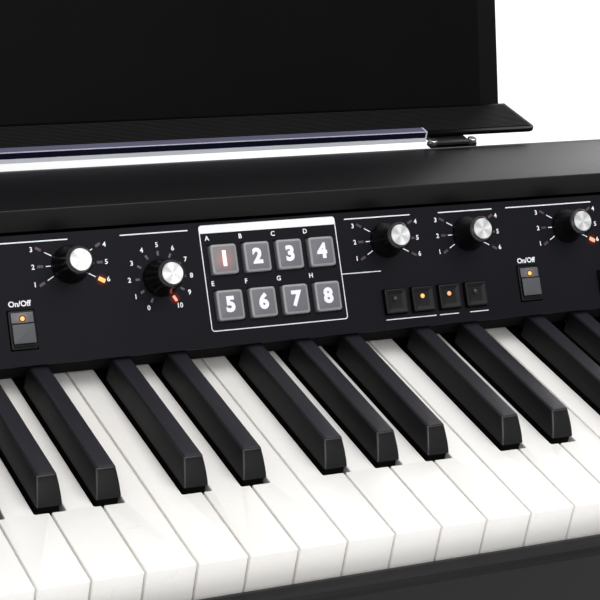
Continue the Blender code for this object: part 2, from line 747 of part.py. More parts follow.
def controls():
    """Every knob and button on the panel."""
    for name, x in SELECTOR_X.items():
        knob(name, x, SELECTOR_V)
    for name, x in DIAL_X.items():
        knob(name, x, DIAL_V)
    for name, x, v, size, material in button_places():
        button(name, x, v, size, material)


# Music desk

def top_surface(y):
    """The height of the top cover's flat part at a depth."""
    crest_z = PANEL_HEAD.z + GROOVE + FASCIA_RISE
    return crest_z - (y - PANEL_HEAD.y) * math.tan(TOP_FALL)


def bracket_heights():
    """The under and upper faces of the desk brackets."""
    low = top_surface(BRACKET_FRONT) + CLEAR
    return low, low + BRACKET_THICK


def ledge_outline():
    """The ledge in side view: a nose rounded at the front and grooves along its top."""
    low = bracket_heights()[1] + CLEAR
    high = low + LEDGE_THICK
    nose = LEDGE_NOSE
    rear = LEDGE_FRONT + LEDGE_DEPTH
    points = [(LEDGE_FRONT + nose, low), (rear, low), (rear, high)]
    pitch = (LEDGE_DEPTH - sum(LEDGE_BORDER)) / LEDGE_RIBS
    for number in range(LEDGE_RIBS):
        middle = rear - LEDGE_BORDER[1] - (number + 0.5) * pitch
        points += [(middle + pitch / 4, high), (middle, high - RIB_DEPTH), (middle - pitch / 4, high)]
    points += [(LEDGE_FRONT + nose, high), (LEDGE_FRONT, high - nose), (LEDGE_FRONT, low + nose)]
    return points


def music_desk():
    """The ledge, the leaning back plate, the clear page stop and the two brackets."""
    low, high = bracket_heights()
    ledge_low = high + CLEAR
    ledge_high = ledge_low + LEDGE_THICK
    long_profile("desk_ledge", ledge_outline(), -DESK_HALF, DESK_HALF, DESK_BLACK)
    desk_plate(ledge_low)
    stop_rear = LEDGE_FRONT - CLEAR
    stop_front = stop_rear - STOP_THICK
    lip_low = ledge_high + CLEAR
    stop_high = lip_low + STOP_LIP_THICK
    stop_low = stop_high - STOP_HEIGHT
    stop = [(stop_front, stop_low), (stop_rear, stop_low), (stop_rear, lip_low),
            (stop_rear + STOP_LIP, lip_low), (stop_rear + STOP_LIP, stop_high),
            (stop_front, stop_high)]
    long_profile("page_stop", stop, -STOP_HALF, STOP_HALF, CLEAR_STRIP)
    for name, side in (("desk_bracket_left", -1), ("desk_bracket_right", 1)):
        middle = side * BRACKET_X
        item = box(name, (middle - BRACKET_WIDTH / 2, BRACKET_FRONT, low),
                   (middle + BRACKET_WIDTH / 2, LEDGE_FRONT + LEDGE_DEPTH - BRACKET_SHORT, high), STEEL)
        rounded(item, BRACKET_EDGE, 1)


def desk_plate(ledge_low):
    """The sheet that leans back behind the ledge, its two ends bent back as wings."""
    fold = DESK_HALF - PLATE_WING
    front = [(-DESK_HALF, WING_BACK), (-fold, 0), (fold, 0), (DESK_HALF, WING_BACK)]
    back = [(x, y + PLATE_THICK) for x, y in reversed(front)]
    plate = level_outline("desk_plate", front + back, 0, PLATE_RISE, DESK_BLACK)
    plate.rotation_euler = (-PLATE_LEAN, 0, 0)
    start = Vector((0, LEDGE_FRONT + LEDGE_DEPTH + PLATE_SEAT, ledge_low))
    middle = Vector((0, math.sin(PLATE_LEAN), math.cos(PLATE_LEAN))) * PLATE_RISE / 2
    plate.location = start + middle
    return plate


# Rear

def socket_top():
    """The top of the socket window, below the rounding of the rear wall."""
    wall_top = next(z for y, z in top_outline() if abs(y - CASE_REAR) < CLEAR)
    return wall_top - SOCKET_DROP


def socket_middle():
    """The height of the jacks and the power switch."""
    return (SOCKET_LOW + socket_top()) / 2


def socket_panel():
    """The steel panel behind the window in the rear wall, with its jack bushes and their nuts."""
    face = CASE_REAR - SHELL_THICK - CLEAR
    middle = socket_middle()
    plate = box("socket_panel", (SOCKET_X[0] - SOCKET_MARGIN, face - SOCKET_THICK,
                                 SOCKET_LOW - SOCKET_MARGIN),
                (SOCKET_X[1] + SOCKET_MARGIN, face, socket_top() + SOCKET_MARGIN), STEEL)
    for title, radius, rise, sides in (("bush", JACK_RADIUS, JACK_RISE, 20),
                                       ("nut", JACK_NUT_RADIUS, JACK_NUT_RISE, 6)):
        turned = []
        for number, x in enumerate(JACK_X):
            part = cylinder(f"{title}_{number}", radius, rise + SOCKET_THICK / 2, None, CUTTERS, sides)
            part.rotation_euler = (-math.pi / 2, 0, 0)
            part.location = (x, face - SOCKET_THICK / 2, middle)
            turned.append(part)
        combine(plate, [joined_mesh(f"jack_{title}s", turned)], "UNION")
    hole = box("power_hole", (POWER_X - POWER_SIZE[0] / 2, face - 4 * SOCKET_THICK,
                              middle - POWER_SIZE[1] / 2),
               (POWER_X + POWER_SIZE[0] / 2, face + 4 * SOCKET_THICK, middle + POWER_SIZE[1] / 2),
               None, CUTTERS)
    combine(plate, [hole], "DIFFERENCE")
    return plate


def power_switch():
    """The rocker of the power switch, which turns about a pin across its middle."""
    face = CASE_REAR - SHELL_THICK - CLEAR
    half = POWER_SIZE[1] / 2 - POWER_HEEL
    width = POWER_SIZE[0] - 2 * CLEAR
    axis_y = face - SOCKET_THICK / 2
    lip = half - CLEAR
    side = [(-POWER_DEPTH, -POWER_DEPTH), (POWER_HEEL, -half), (POWER_HORN, -lip), (POWER_DISH, 0),
            (POWER_HORN, lip), (POWER_HEEL, half), (-POWER_DEPTH, POWER_DEPTH)]
    lean = math.radians(-POWER_SWING / 2)
    points = []
    for y, z in side:
        points.append((y * math.cos(lean) - z * math.sin(lean), y * math.sin(lean) + z * math.cos(lean)))
    mesh = outline_mesh("power_switch", points, width)
    item = place(bpy.data.objects.new("power_switch", mesh), BUTTON_BLACK)
    item.rotation_euler = (math.pi / 2, 0, math.pi / 2)
    item.location = (POWER_X, axis_y, socket_middle())
    return item


def shade():
    """Shade the round pieces smooth and keep their sharp edges."""
    for item in PIANO.objects:
        if item.type == "MESH":
            item.data.shade_smooth()
            item.data.set_sharp_from_angle(angle=math.radians(30))


keyboard()
case()
top_cover()
cheeks()
control_panel()
panel_board()
controls()
music_desk()
socket_panel()
power_switch()
shade()
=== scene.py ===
"""The looks of the stage piano: its keys, panel, lamps, printing, case, music desk and studio.

Metres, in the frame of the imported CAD. Places on the control panel are given as x along the
keyboard, v up the slope from the panel's lower edge, and w out of its surface.
"""
import math

import bmesh
import bpy
from mathutils import Matrix, Vector


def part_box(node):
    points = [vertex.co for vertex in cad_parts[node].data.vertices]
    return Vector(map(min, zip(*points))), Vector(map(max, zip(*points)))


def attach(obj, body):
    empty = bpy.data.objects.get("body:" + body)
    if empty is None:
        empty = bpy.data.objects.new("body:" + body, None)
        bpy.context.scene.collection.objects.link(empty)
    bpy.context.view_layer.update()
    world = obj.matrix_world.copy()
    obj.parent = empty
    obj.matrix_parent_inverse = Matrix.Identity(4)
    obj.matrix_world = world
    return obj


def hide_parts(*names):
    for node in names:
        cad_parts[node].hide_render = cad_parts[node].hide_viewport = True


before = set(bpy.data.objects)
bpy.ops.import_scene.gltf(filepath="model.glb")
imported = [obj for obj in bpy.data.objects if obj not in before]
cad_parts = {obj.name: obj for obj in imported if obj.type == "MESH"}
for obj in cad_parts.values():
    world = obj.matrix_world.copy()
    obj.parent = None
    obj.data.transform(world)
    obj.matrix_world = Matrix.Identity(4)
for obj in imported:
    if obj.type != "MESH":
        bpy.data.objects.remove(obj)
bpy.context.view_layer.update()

MM = 0.001

# Keyboard
WHITE_COUNT = 43
LETTERS = "ABCDEFG"
LOWEST_LETTER = "E"
PLAYED_FIRST = 19
PLAYED_COUNT = 7
KEY_GAP = 0.9 * MM
KEY_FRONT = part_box("key_c")[0].y
KEY_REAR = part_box("key_c")[1].y
KEY_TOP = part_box("key_c")[1].z
KEY_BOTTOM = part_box("key_c")[0].z
KEY_PITCH = (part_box("key_b")[1].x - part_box("key_c")[0].x + KEY_GAP) / PLAYED_COUNT
HEAD_LENGTH = 50 * MM
KEY_EDGE = 0.7 * MM
KEY_CORNER = 0.7 * MM
BLACK_SLOT = 14.2 * MM
BLACK_WIDTH = 11.8 * MM
BLACK_TOP_WIDTH = 9.4 * MM
BLACK_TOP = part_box("key_c_sharp")[1].z
BLACK_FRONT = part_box("key_c_sharp")[0].y
BLACK_RAKE = 7.6 * MM
BLACK_REAR = KEY_FRONT + 148 * MM
BLACK_EDGE = 1.1 * MM
BLACK_FOOT = 1.9 * MM     # how far its shaded foot shows above the white keys
BLACK_UNDERCUT = 0.9 * MM
BLACK_SHOULDER = 2 * MM
BLACK_CROWN = 0.2 * MM
BLACK_BOW = 0.15 * MM
BLACK_OFFSET = {"D": -2.65 * MM, "E": 2.4 * MM, "G": -3.75 * MM, "A": 0.0, "B": 3.3 * MM}
RAIL_BACK = 213 * MM      # from the keys' front to the rail they turn on
RAIL_HALF = 3 * MM
BED_BACK = 6 * MM
BED_SUNK = (15 * MM, 5 * MM)  # below the keys in front and at the rail

# Control panel
PANEL_TILT = math.radians(53.84)
PANEL_FOOT = Vector((0, KEY_FRONT + 143.3 * MM, 98 * MM))
PANEL_RISE = 60.9 * MM
PANEL_THICK = 3 * MM
SELECTOR_V = 45.4 * MM
DIAL_V = 35.6 * MM
KNOB_RADIUS = 9.1 * MM
KNOB_WAIST_RADIUS = 6.5 * MM
KNOB_TOP_RADIUS = 6.7 * MM
KNOB_CAP_RADIUS = 5.3 * MM
KNOB_RISE = 15.4 * MM
KNOB_FLOAT = 0.5 * MM
SWITCH_SIZE = (12.8 * MM, 18.1 * MM)
SWITCH_V = 16.75 * MM
SQUARE_SIDE = 12.4 * MM
SQUARE_V = 13.8 * MM
SQUARE_X = [(111.0 + 15.8 * number) * MM for number in range(4)]
PAD_SIZE = (14.1 * MM, 14.9 * MM)
PAD_X = [(19.6 + 17.8 * column) * MM for column in range(4)]
PAD_V = [42.0 * MM, 19.5 * MM]
BUTTON_FOOT = 5 * MM      # how far a button goes below the panel's face
SPEED_BUTTON_X = 242.6 * MM
SELECTORS = {
    "prefx_type_knob": -174.6 * MM,
    "amp_type_knob": -58.7 * MM,
    "sound_knob": 111.3 * MM,
    "variation_knob": 159.7 * MM,
    "modulation_knob": 221.4 * MM,
    "reverb_knob": 339.5 * MM,
}
DIALS = {
    "volume_knob": -429.5 * MM,
    "eq_low_knob": -332.4 * MM,
    "eq_mid_knob": -288.8 * MM,
    "eq_high_knob": -245.2 * MM,
    "prefx_level_knob": -129.9 * MM,
    "drive_knob": -14.0 * MM,
    "modulation_speed_knob": 266.1 * MM,
    "reverb_depth_knob": 384.2 * MM,
}
SWITCHES = {
    "eq_switch": -372.1 * MM,
    "prefx_switch": -201.7 * MM,
    "amp_switch": -85.7 * MM,
    "modulation_switch": 192.6 * MM,
    "reverb_switch": 310.8 * MM,
}
LIT_SWITCHES = ("amp_switch", "modulation_switch")

# Lamps and printing on the panel
LAMP_SIDE = 14.8 * MM
LAMP_STEP = 8.3 * MM
LAMP_LENGTH = 3.1 * MM
LAMP_WIDTH = 1.3 * MM
LAMP_HEIGHT = 0.35 * MM
# the glow round a lit lamp is painted into the panel paint's emission
PAINTED_HALO = 3.6 * MM           # how far a lit lamp shines on the paint
RING_COUNT = 11
RING_RADIUS = 11.95 * MM
RING_DIGITS = 16.05 * MM
RING_STEP = 30
RING_LAMP = (2.3 * MM, 1.1 * MM)
LIT_LAMP = (3.5 * MM, 1.9 * MM)
LIT_RING_LAMP = (3.0 * MM, 1.3 * MM)
INK = 0.05 * MM           # how far printing stands above the panel
LINE_WIDTH = 0.55 * MM
FINE_LINE = 0.45 * MM
FIGURE = 2.3 * MM         # height of the small printed figures
FIGURE_BOLD = 0.07 * MM
LAMP_SEAT = 0.02 * MM
LETTER_LIFT = INK * 0.6
FIGURE_REACH = 3.4 * MM   # from a selector's lamp to its figure
LONG_TICK = (10.1, 13.5)  # from the selector's centre, in millimetres
SHORT_TICK = (9.6, 11.8)
PAD_LETTER_BACK = 7 * MM
PAD_LETTER_V = (52.9 * MM, 30.6 * MM)
ON_OFF = (2.6 * MM, 0.1 * MM, 28.9 * MM)  # height, boldness and place up the panel
TITLE_V = 57.5 * MM
TITLE_LINES = [(-447.4, -411.7), (-378.0, -330.4), (-302.7, -229.3), (-207.2, -174.5), (-147.9, -113.1),
               (-91.3, -58.6), (-31.9, 2.9), (89.0, 126.6), (143.8, 176.0), (184.9, 238.5), (262.2, 284.0),
               (303.0, 335.7), (362.4, 397.2)]
LINK_LINES = [((82.9, 30.0), (105.5, 29.9)), ((105.0, 4.9), (134.0, 4.9)), ((136.3, 4.9), (147.4, 4.9)),
              ((154.4, 4.9), (165.4, 4.9))]
FRAME_LOW = (8.8 * MM, 7.4 * MM)
FRAME_HIGH = (83.4 * MM, 59.4 * MM)
FRAME_CORNER = 1.6 * MM
HEADING_DEPTH = 4 * MM

# Case
CLEAR = 0.3 * MM
SHELL_THICK = 3 * MM
GROOVE = 1.4 * MM
FASCIA_RISE = 11.4 * MM
CREST_ROUND = 0.8 * MM
TOP_FALL = math.radians(1.0)
TOP_DEPTH = 40.6 * MM
TOP_ROUND = 15.6 * MM
BACK_FALL = math.radians(28)
REAR_ROUND = 12 * MM
RETURN_DEPTH = 9 * MM
CHEEK_PROUD = 1.2 * MM
CHEEK_ARM_ROUND = 14 * MM
CHEEK_ARM_TOP = 91 * MM
CHEEK_EDGE = 6 * MM
CASE_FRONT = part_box("key_slip")[0].y
CASE_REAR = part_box("top_cover")[1].y
CASE_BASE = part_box("top_cover")[0].z
BOARD_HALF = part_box("top_cover")[1].x
FOOT_RADIUS = 15 * MM
FOOT_INSET = 45 * MM
SOCKET_MARGIN = 8 * MM
JACK_X = [number * MM for number in (-270, -235, -190, -155, -110, -75, -40, -5)]
JACK_RADIUS = 6.5 * MM
JACK_BORE = 3.2 * MM
STOP_TRIM = 3.8 * MM
STOP_BACK = 1.5 * MM
STOP_LIP = 4 * MM
STOP_LIP_THICK = 1.2 * MM
BRACKET_END = 223.4 * MM  # its front end, behind the keys' front
BAR_REACH = 4.5 * MM
BAR_DEPTH = 5 * MM
BAR_TOP = 1.4 * MM
KNURLS = 36
RIB_COUNT = 18
LEDGE_CORNER = 5 * MM
LEDGE_EDGE = 0.9 * MM
LEDGE_BORDER = (2.4 * MM, 3.4 * MM)  # smooth at its ends and rear, and in front
RIB_SUNK = 0.35 * MM
BRACKETS = ("desk_bracket_left", "desk_bracket_right")
FELT_THICK = 2.5 * MM
FELT_SEAT = (6.7 * MM, 2.2 * MM)  # where up the slope it is glued to the back of the panel

# The photograph's camera: its place, the way it looks and its lens on a sensor as wide as the image
EYE = Vector((-378.92 * MM, KEY_FRONT - 599.15 * MM, KEY_TOP + 470.28 * MM))
EYE_AZIMUTH = math.radians(-30.11)
EYE_DOWN = math.radians(26.74)
EYE_ROLL = math.radians(9.41)
SENSOR = 36.0
EYE_LENS = 1978.3 / 600 * SENSOR

# Light: each lamp's name, place, target, size and power
WORLD_LIGHT = 0.42
LAMPS = [("overhead", (0.45, -0.45, 1.6), (0.05, -0.05, 0.1), (1.4, 1.0), 19),
         ("rear_right", (2.15, 1.66, 1.05), (0.25, 0.0, 0.15), (0.9, 0.7), 21),
         ("front_fill", (-0.35, -1.5, 1.15), (0.0, 0.0, 0.1), (1.5, 0.8), 15)]

UP = Vector((0, math.cos(PANEL_TILT), math.sin(PANEL_TILT)))
OUT = Vector((0, -math.sin(PANEL_TILT), math.cos(PANEL_TILT)))
PANEL_HEAD = PANEL_FOOT + UP * PANEL_RISE
PANEL = Matrix.Translation(PANEL_FOOT) @ Matrix.Rotation(PANEL_TILT, 4, "X")


def on_panel(x, v, w=0.0, turn=0.0):
    """The matrix that puts a shape made about the origin on the panel, turned about its normal."""
    return PANEL @ Matrix.Translation((x, v, w)) @ Matrix.Rotation(turn, 4, "Z")


# Shader nodes

def feed(tree, socket, value):
    """Let an input follow a socket or hold a value, a colour being an (r, g, b) triple."""
    if isinstance(value, bpy.types.NodeSocket):
        tree.links.new(value, socket)
    elif socket.type == "RGBA":
        socket.default_value = (*value, 1)
    else:
        socket.default_value = value


def add_node(tree, kind, **settings):
    """A node with its settings; inputs is a dictionary of its input sockets and what each is fed."""
    made = tree.nodes.new(kind)
    inputs = settings.pop("inputs", {})
    for name, value in settings.items():
        setattr(made, name, value)
    for name, value in inputs.items():
        feed(tree, made.inputs[name], value)
    return made


def new_group(family, name, inputs, outputs):
    """An empty node group with its sockets, as its tree, its given sockets and its output node."""
    tree = bpy.data.node_groups.new(name, family)
    for title, kind, *value in inputs:
        socket = tree.interface.new_socket(title, in_out="INPUT", socket_type="NodeSocket" + kind)
        if value:
            socket.default_value = value[0]
    for title, kind in outputs:
        tree.interface.new_socket(title, in_out="OUTPUT", socket_type="NodeSocket" + kind)
    return tree, tree.nodes.new("NodeGroupInput").outputs, tree.nodes.new("NodeGroupOutput")


def maths(tree, operation, *values, clamp=False):
    """A math node whose inputs are sockets or numbers, as its output socket."""
    made = add_node(tree, "ShaderNodeMath", operation=operation, use_clamp=clamp)
    for socket, value in zip(made.inputs, values):
        feed(tree, socket, value)
    return made.outputs[0]


def spread(tree, value, low, high, to_low=0.0, to_high=1.0):
    """A value between two limits spread over two others, as an output socket."""
    return add_node(tree, "ShaderNodeMapRange", inputs={
        "Value": value, "From Min": low, "From Max": high, "To Min": to_low,
        "To Max": to_high}).outputs["Result"]


def mixed(tree, factor, first, second):
    """A mix of two colours, each a socket or an (r, g, b) triple, as an output socket."""
    return add_node(tree, "ShaderNodeMix", data_type="RGBA",
                    inputs={"Factor": factor, 6: first, 7: second}).outputs[2]


def noise(tree, title, place, scale, detail, roughness, **settings):
    """The value of a noise texture whose Vector or W input is the place."""
    return add_node(tree, "ShaderNodeTexNoise", **settings, inputs={
        title: place, "Scale": scale, "Detail": detail, "Roughness": roughness}).outputs["Fac"]


def grouped(tree, group, **inputs):
    """The outputs of a node group with its inputs fed."""
    return add_node(tree, "ShaderNodeGroup", node_tree=group, inputs=inputs).outputs


def length_of(tree, vector):
    """The length of a vector, as an output socket."""
    return add_node(tree, "ShaderNodeVectorMath", operation="LENGTH", inputs={0: vector}).outputs["Value"]


def moulded_grain_group():
    """Fine pebbled grain of moulded plastic: a height for bump and a tone for colour."""
    tree, given, end = new_group(
        "ShaderNodeTree", "moulded_grain",
        [("Position", "Vector"), ("Pebbles", "Float", 1500.0), ("Drift", "Float", 14.0)],
        [("Height", "Float"), ("Tone", "Float")])
    place = given["Position"]
    pebbles = add_node(tree, "ShaderNodeTexVoronoi", feature="SMOOTH_F1",
                       inputs={"Vector": place, "Scale": given["Pebbles"], "Smoothness": 0.6})
    fine = noise(tree, "Vector", place, maths(tree, "MULTIPLY", given["Pebbles"], 1.7), 3.0, 0.6)
    drift = noise(tree, "Vector", place, given["Drift"], 2.0, 0.5)
    feed(tree, end.inputs["Height"], maths(tree, "MULTIPLY_ADD", fine, 0.45, pebbles.outputs["Distance"]))
    feed(tree, end.inputs["Tone"],
         maths(tree, "MULTIPLY_ADD", fine, 0.5, maths(tree, "MULTIPLY", drift, 0.5)))
    return tree


def handled_gloss_group():
    """Roughness that a hand and a cloth leave: broad smears about a base value."""
    tree, given, end = new_group(
        "ShaderNodeTree", "handled_gloss",
        [("Position", "Vector"), ("Roughness", "Float", 0.4), ("Smears", "Float", 0.06),
         ("Scale", "Float", 30.0)], [("Roughness", "Float")])
    smears = add_node(tree, "ShaderNodeTexNoise", inputs={
        "Vector": given["Position"], "Scale": given["Scale"], "Detail": 4.0, "Roughness": 0.65,
        "Distortion": 1.2}).outputs["Fac"]
    swing = maths(tree, "MULTIPLY", maths(tree, "SUBTRACT", smears, 0.5), given["Smears"])
    feed(tree, end.inputs["Roughness"],
         maths(tree, "MULTIPLY_ADD", swing, 2.0, given["Roughness"], clamp=True))
    return tree


def glow_group():
    """A round glow about a place: 1 at the centre and 0 past its reach."""
    tree, given, end = new_group("ShaderNodeTree", "lamp_glow",
                                 [("Place", "Vector"), ("Reach", "Float", 0.5)], [("Glow", "Float")])
    share = maths(tree, "DIVIDE", length_of(tree, given["Place"]), given["Reach"])
    near = maths(tree, "SUBTRACT", 1.0, share, clamp=True)
    feed(tree, end.inputs["Glow"], maths(tree, "POWER", near, 2.0))
    return tree


GRAIN = moulded_grain_group()
GLOSS = handled_gloss_group()
GLOW = glow_group()


# Materials. Colours are linear, and the depth of a bump is given in millimetres.

def new_material(name):
    """A material with its tree, its shader and a socket with Object coordinates."""
    material = bpy.data.materials.new(name)
    material.use_nodes = True
    tree = material.node_tree
    place = tree.nodes.new("ShaderNodeTexCoord").outputs["Object"]
    return material, tree, tree.nodes["Principled BSDF"], place


def paint(tree, shader, values):
    """Feed the shader's inputs from a dictionary."""
    for title, value in values.items():
        feed(tree, shader.inputs[title], value)


def bump(tree, height, depth):
    """A bump of a real depth from a height socket, as its normal socket."""
    made = add_node(tree, "ShaderNodeBump", inputs={"Distance": depth * MM, "Height": height})
    return made.outputs["Normal"]


def grained(name, dark, light, roughness, shine=None, pebbles=1300.0, drift=14.0, smears=0.06,
            smear_scale=30.0, tones=(0.3, 0.7), depth=0.0, drawn=None):
    """A surface of two tones with grain and handled gloss, as material, tree, shader, place and tone."""
    material, tree, shader, place = new_material(name)
    grain_place = place
    if drawn:
        grain_place = add_node(tree, "ShaderNodeMapping",
                               inputs={"Vector": place, "Scale": drawn}).outputs["Vector"]
    grain = grouped(tree, GRAIN, Position=grain_place, Pebbles=pebbles, Drift=drift)
    gloss = grouped(tree, GLOSS, Position=place, Roughness=roughness, Smears=smears, Scale=smear_scale)
    tone = spread(tree, grain["Tone"], *tones)
    paint(tree, shader, {"Base Color": mixed(tree, tone, dark, light), "Roughness": gloss["Roughness"]})
    if depth:
        paint(tree, shader, {"Normal": bump(tree, grain["Height"], depth)})
    if shine is not None:
        paint(tree, shader, {"Specular IOR Level": shine})
    return material, tree, shader, place, tone


def moulded(name, dark, light, roughness, shine=None, pebbles=1500.0, depth=0.02, smears=0.05, metal=0.0):
    """Moulded, painted or metal surface."""
    material, tree, shader, _, _ = grained(name, dark, light, roughness, shine, pebbles, smears=smears,
                                           depth=depth)
    paint(tree, shader, {"Metallic": metal})
    return material


def ebony(name, dark, light, roughness, shine):
    """Black key plastic with a drawn grain along its length, matt like stained wood."""
    return grained(name, dark, light, roughness, shine, pebbles=2600.0, drift=300.0, smears=0.08,
                   smear_scale=60.0, depth=0.03, drawn=(1.0, 0.12, 1.0))[0]


def spun_metal():
    """Turned aluminium knob cap: fine rings about its own centre, with soft brighter sectors painted into its
    colour as highlights.
    """
    material, tree, shader, _ = new_material("spun_cap_metal")
    flat = add_node(tree, "ShaderNodeUVMap", uv_map="flat").outputs["UV"]
    split = add_node(tree, "ShaderNodeSeparateXYZ", inputs={"Vector": flat}).outputs
    rings = noise(tree, "W", length_of(tree, flat), 60.0, 4.0, 0.7, noise_dimensions="1D")
    angle = maths(tree, "ARCTAN2", split["Y"], split["X"])
    # painted highlight: the colour is brighter in sectors round the cap's centre, standing in for the spun
    # metal's reflections
    painted_highlight_wedges = maths(tree, "SINE", maths(tree, "MULTIPLY_ADD", angle, 4.0, 0.9))
    streaks = noise(tree, "W", angle, 7.0, 3.0, 0.6, noise_dimensions="1D")
    bright = maths(tree, "MULTIPLY_ADD", painted_highlight_wedges, 0.28, maths(tree, "MULTIPLY_ADD", streaks, 0.5, 0.3),
                   clamp=True)
    paint(tree, shader, {"Base Color": mixed(tree, bright, (0.33, 0.33, 0.34), (0.80, 0.80, 0.80)),
                         "Roughness": spread(tree, rings, 0.3, 0.7, 0.22, 0.34),
                         "Normal": bump(tree, rings, 0.01), "Metallic": 1.0})
    return material


def felt():
    """Black pressed felt with a loose nap and a reddish tinge."""
    material, tree, shader, place = new_material("pressed_black_felt")
    nap = noise(tree, "Vector", place, 1800.0, 5.0, 0.75)
    tone = spread(tree, nap, 0.3, 0.7)
    paint(tree, shader, {"Base Color": mixed(tree, tone, (0.0015, 0.001, 0.001), (0.004, 0.0028, 0.0028)),
                         "Normal": bump(tree, nap, 0.2), "Roughness": 0.95, "Sheen Weight": 0.02,
                         "Sheen Roughness": 0.5, "Specular IOR Level": 0.1})
    return material


def lamp(name, colour, strength, body=(0.10, 0.085, 0.09)):
    """A lamp's clouded lens, lit from inside where its strength is above nothing."""
    paler = [min(1.0, channel * 1.5) for channel in body]
    material, tree, shader, _, tone = grained(name, body, paler, 0.28)
    if strength:
        hotter = [min(1.0, channel * 1.2 + 0.04) for channel in colour]
        paint(tree, shader, {"Emission Color": mixed(tree, tone, colour, hotter),
                             "Emission Strength": strength})
    return material


def glow_at(tree, place, reach):
    """A glow about the place where a vector socket is nothing, as an output socket."""
    return grouped(tree, GLOW, Place=place, Reach=reach)["Glow"]


def glowing(name, dark, light, colour, strength, reach, roughness):
    """Moulded surface with a lamp's glow about the middle of its flat map."""
    material, tree, shader, _, _ = grained(name, dark, light, roughness, depth=0.008)
    flat = add_node(tree, "ShaderNodeUVMap", uv_map="flat").outputs["UV"]
    paint(tree, shader, {"Emission Color": mixed(tree, glow_at(tree, flat, reach), (0, 0, 0), colour),
                         "Emission Strength": strength})
    return material


def lit_places():
    """Where the lit lamps of the selectors and the dial lie, with the colour of the glow painted round each.
    """
    turn = math.radians(90 - 150)
    drive = (DIALS["drive_knob"] + RING_RADIUS * math.cos(turn), DIAL_V + RING_RADIUS * math.sin(turn))
    places = [(SELECTORS["amp_type_knob"] + LAMP_SIDE, SELECTOR_V - LAMP_STEP, (1.0, 0.10, 0.01)),
              (SELECTORS["modulation_knob"] + LAMP_SIDE, SELECTOR_V - LAMP_STEP, (1.0, 0.06, 0.01)),
              (*drive, (1.0, 0.04, 0.02))]
    return [(on_panel(x, v).translation, colour) for x, v, colour in places]


def panel_paint():
    """Fine-grained paint of the panel, with a glow painted into its emission round each lit lamp."""
    material, tree, shader, place, _ = grained(
        "painted_panel_black", (0.0028, 0.0027, 0.0046), (0.0052, 0.0050, 0.0078), 0.45, 0.07,
        pebbles=2400.0, smears=0.05, depth=0.01)
    shine = (0, 0, 0)
    for spot, colour in lit_places():
        away = add_node(tree, "ShaderNodeVectorMath", operation="SUBTRACT", inputs={0: place, 1: spot})
        shine = mixed(tree, glow_at(tree, away.outputs["Vector"], PAINTED_HALO), shine, colour)
    # painted glow: the paint itself emits round each lit lamp, standing in for the lamp's light falling on it
    paint(tree, shader, {"Emission Color": shine, "Emission Strength": 0.35})
    return material


CASE_BLACK = moulded("textured_case_black", (0.0016, 0.0014, 0.0018), (0.004, 0.0035, 0.0044), 0.36, 0.16,
                     pebbles=1600.0, depth=0.012, smears=0.012)
RUBBER = moulded("button_rubber_black", (0.0018, 0.0018, 0.002), (0.0042, 0.0042, 0.0045), 0.42, 0.14,
                 depth=0.008)
KNOB_BLACK = moulded("knob_gloss_black", (0.001, 0.001, 0.001), (0.002, 0.002, 0.002), 0.3, 0.3,
                     depth=0.0005, smears=0.02)
PAD_GREY = moulded("pad_smoked_grey", (0.094, 0.089, 0.105), (0.122, 0.117, 0.134), 0.32, 0.5, depth=0.006)
# painted highlight: the pad's sides and rounded rim are a lighter copy of its smoked grey, standing in for
# light caught in its edges
PAD_RIM_PAINTED_HIGHLIGHT = moulded("pad_rim_grey", (0.17, 0.175, 0.18), (0.23, 0.235, 0.24), 0.3, 0.5, depth=0.006)
PAD_LIT = glowing("pad_smoked_lit", (0.12, 0.115, 0.12), (0.15, 0.145, 0.15), (1.0, 0.12, 0.09), 0.32,
                  0.6, 0.32)
PAD_FIGURE = lamp("pad_figure_white", (0, 0, 0), 0, (0.62, 0.62, 0.68))
PAD_FIGURE_LIT = lamp("pad_figure_lit", (1.0, 0.55, 0.45), 0.45, (0.75, 0.66, 0.66))
SWITCH_TOP = moulded("switch_upper_grey", (0.045, 0.047, 0.058), (0.065, 0.067, 0.08), 0.4, depth=0.008)
SWITCH_LIT = glowing("switch_upper_lit", (0.045, 0.047, 0.058), (0.065, 0.067, 0.08), (1.0, 0.36, 0.12),
                     0.25, 0.38, 0.4)
SWITCH_FACE = moulded("switch_lower_grey", (0.05, 0.052, 0.058), (0.075, 0.077, 0.083), 0.42, 0.25,
                      depth=0.01)
IVORY = grained("ivory_key_plastic", (0.80, 0.775, 0.74), (0.87, 0.855, 0.83), 0.30, 0.4, pebbles=1100.0,
                drift=9.0, smears=0.08, smear_scale=22.0, tones=(0.35, 0.65), depth=0.008)[0]
EBONY = ebony("ebony_key_plastic", (0.0045, 0.0044, 0.0048), (0.0085, 0.0083, 0.009), 0.46, 0.12)
# partly painted light: the top's own glossier grain, with its colour painted lighter than the sides as lit
# from above
EBONY_TOP_PAINTED_LIGHTER = ebony("ebony_key_top", (0.007, 0.0066, 0.0095), (0.015, 0.014, 0.020), 0.42, 0.28)
# painted highlight: a lighter, glossier copy of the key plastic for a band of the top's rounding and the
# faces turned to the front and left
EBONY_RIM_PAINTED_HIGHLIGHT = ebony("ebony_key_rim", (0.014, 0.014, 0.016), (0.026, 0.026, 0.029), 0.32, 0.4)
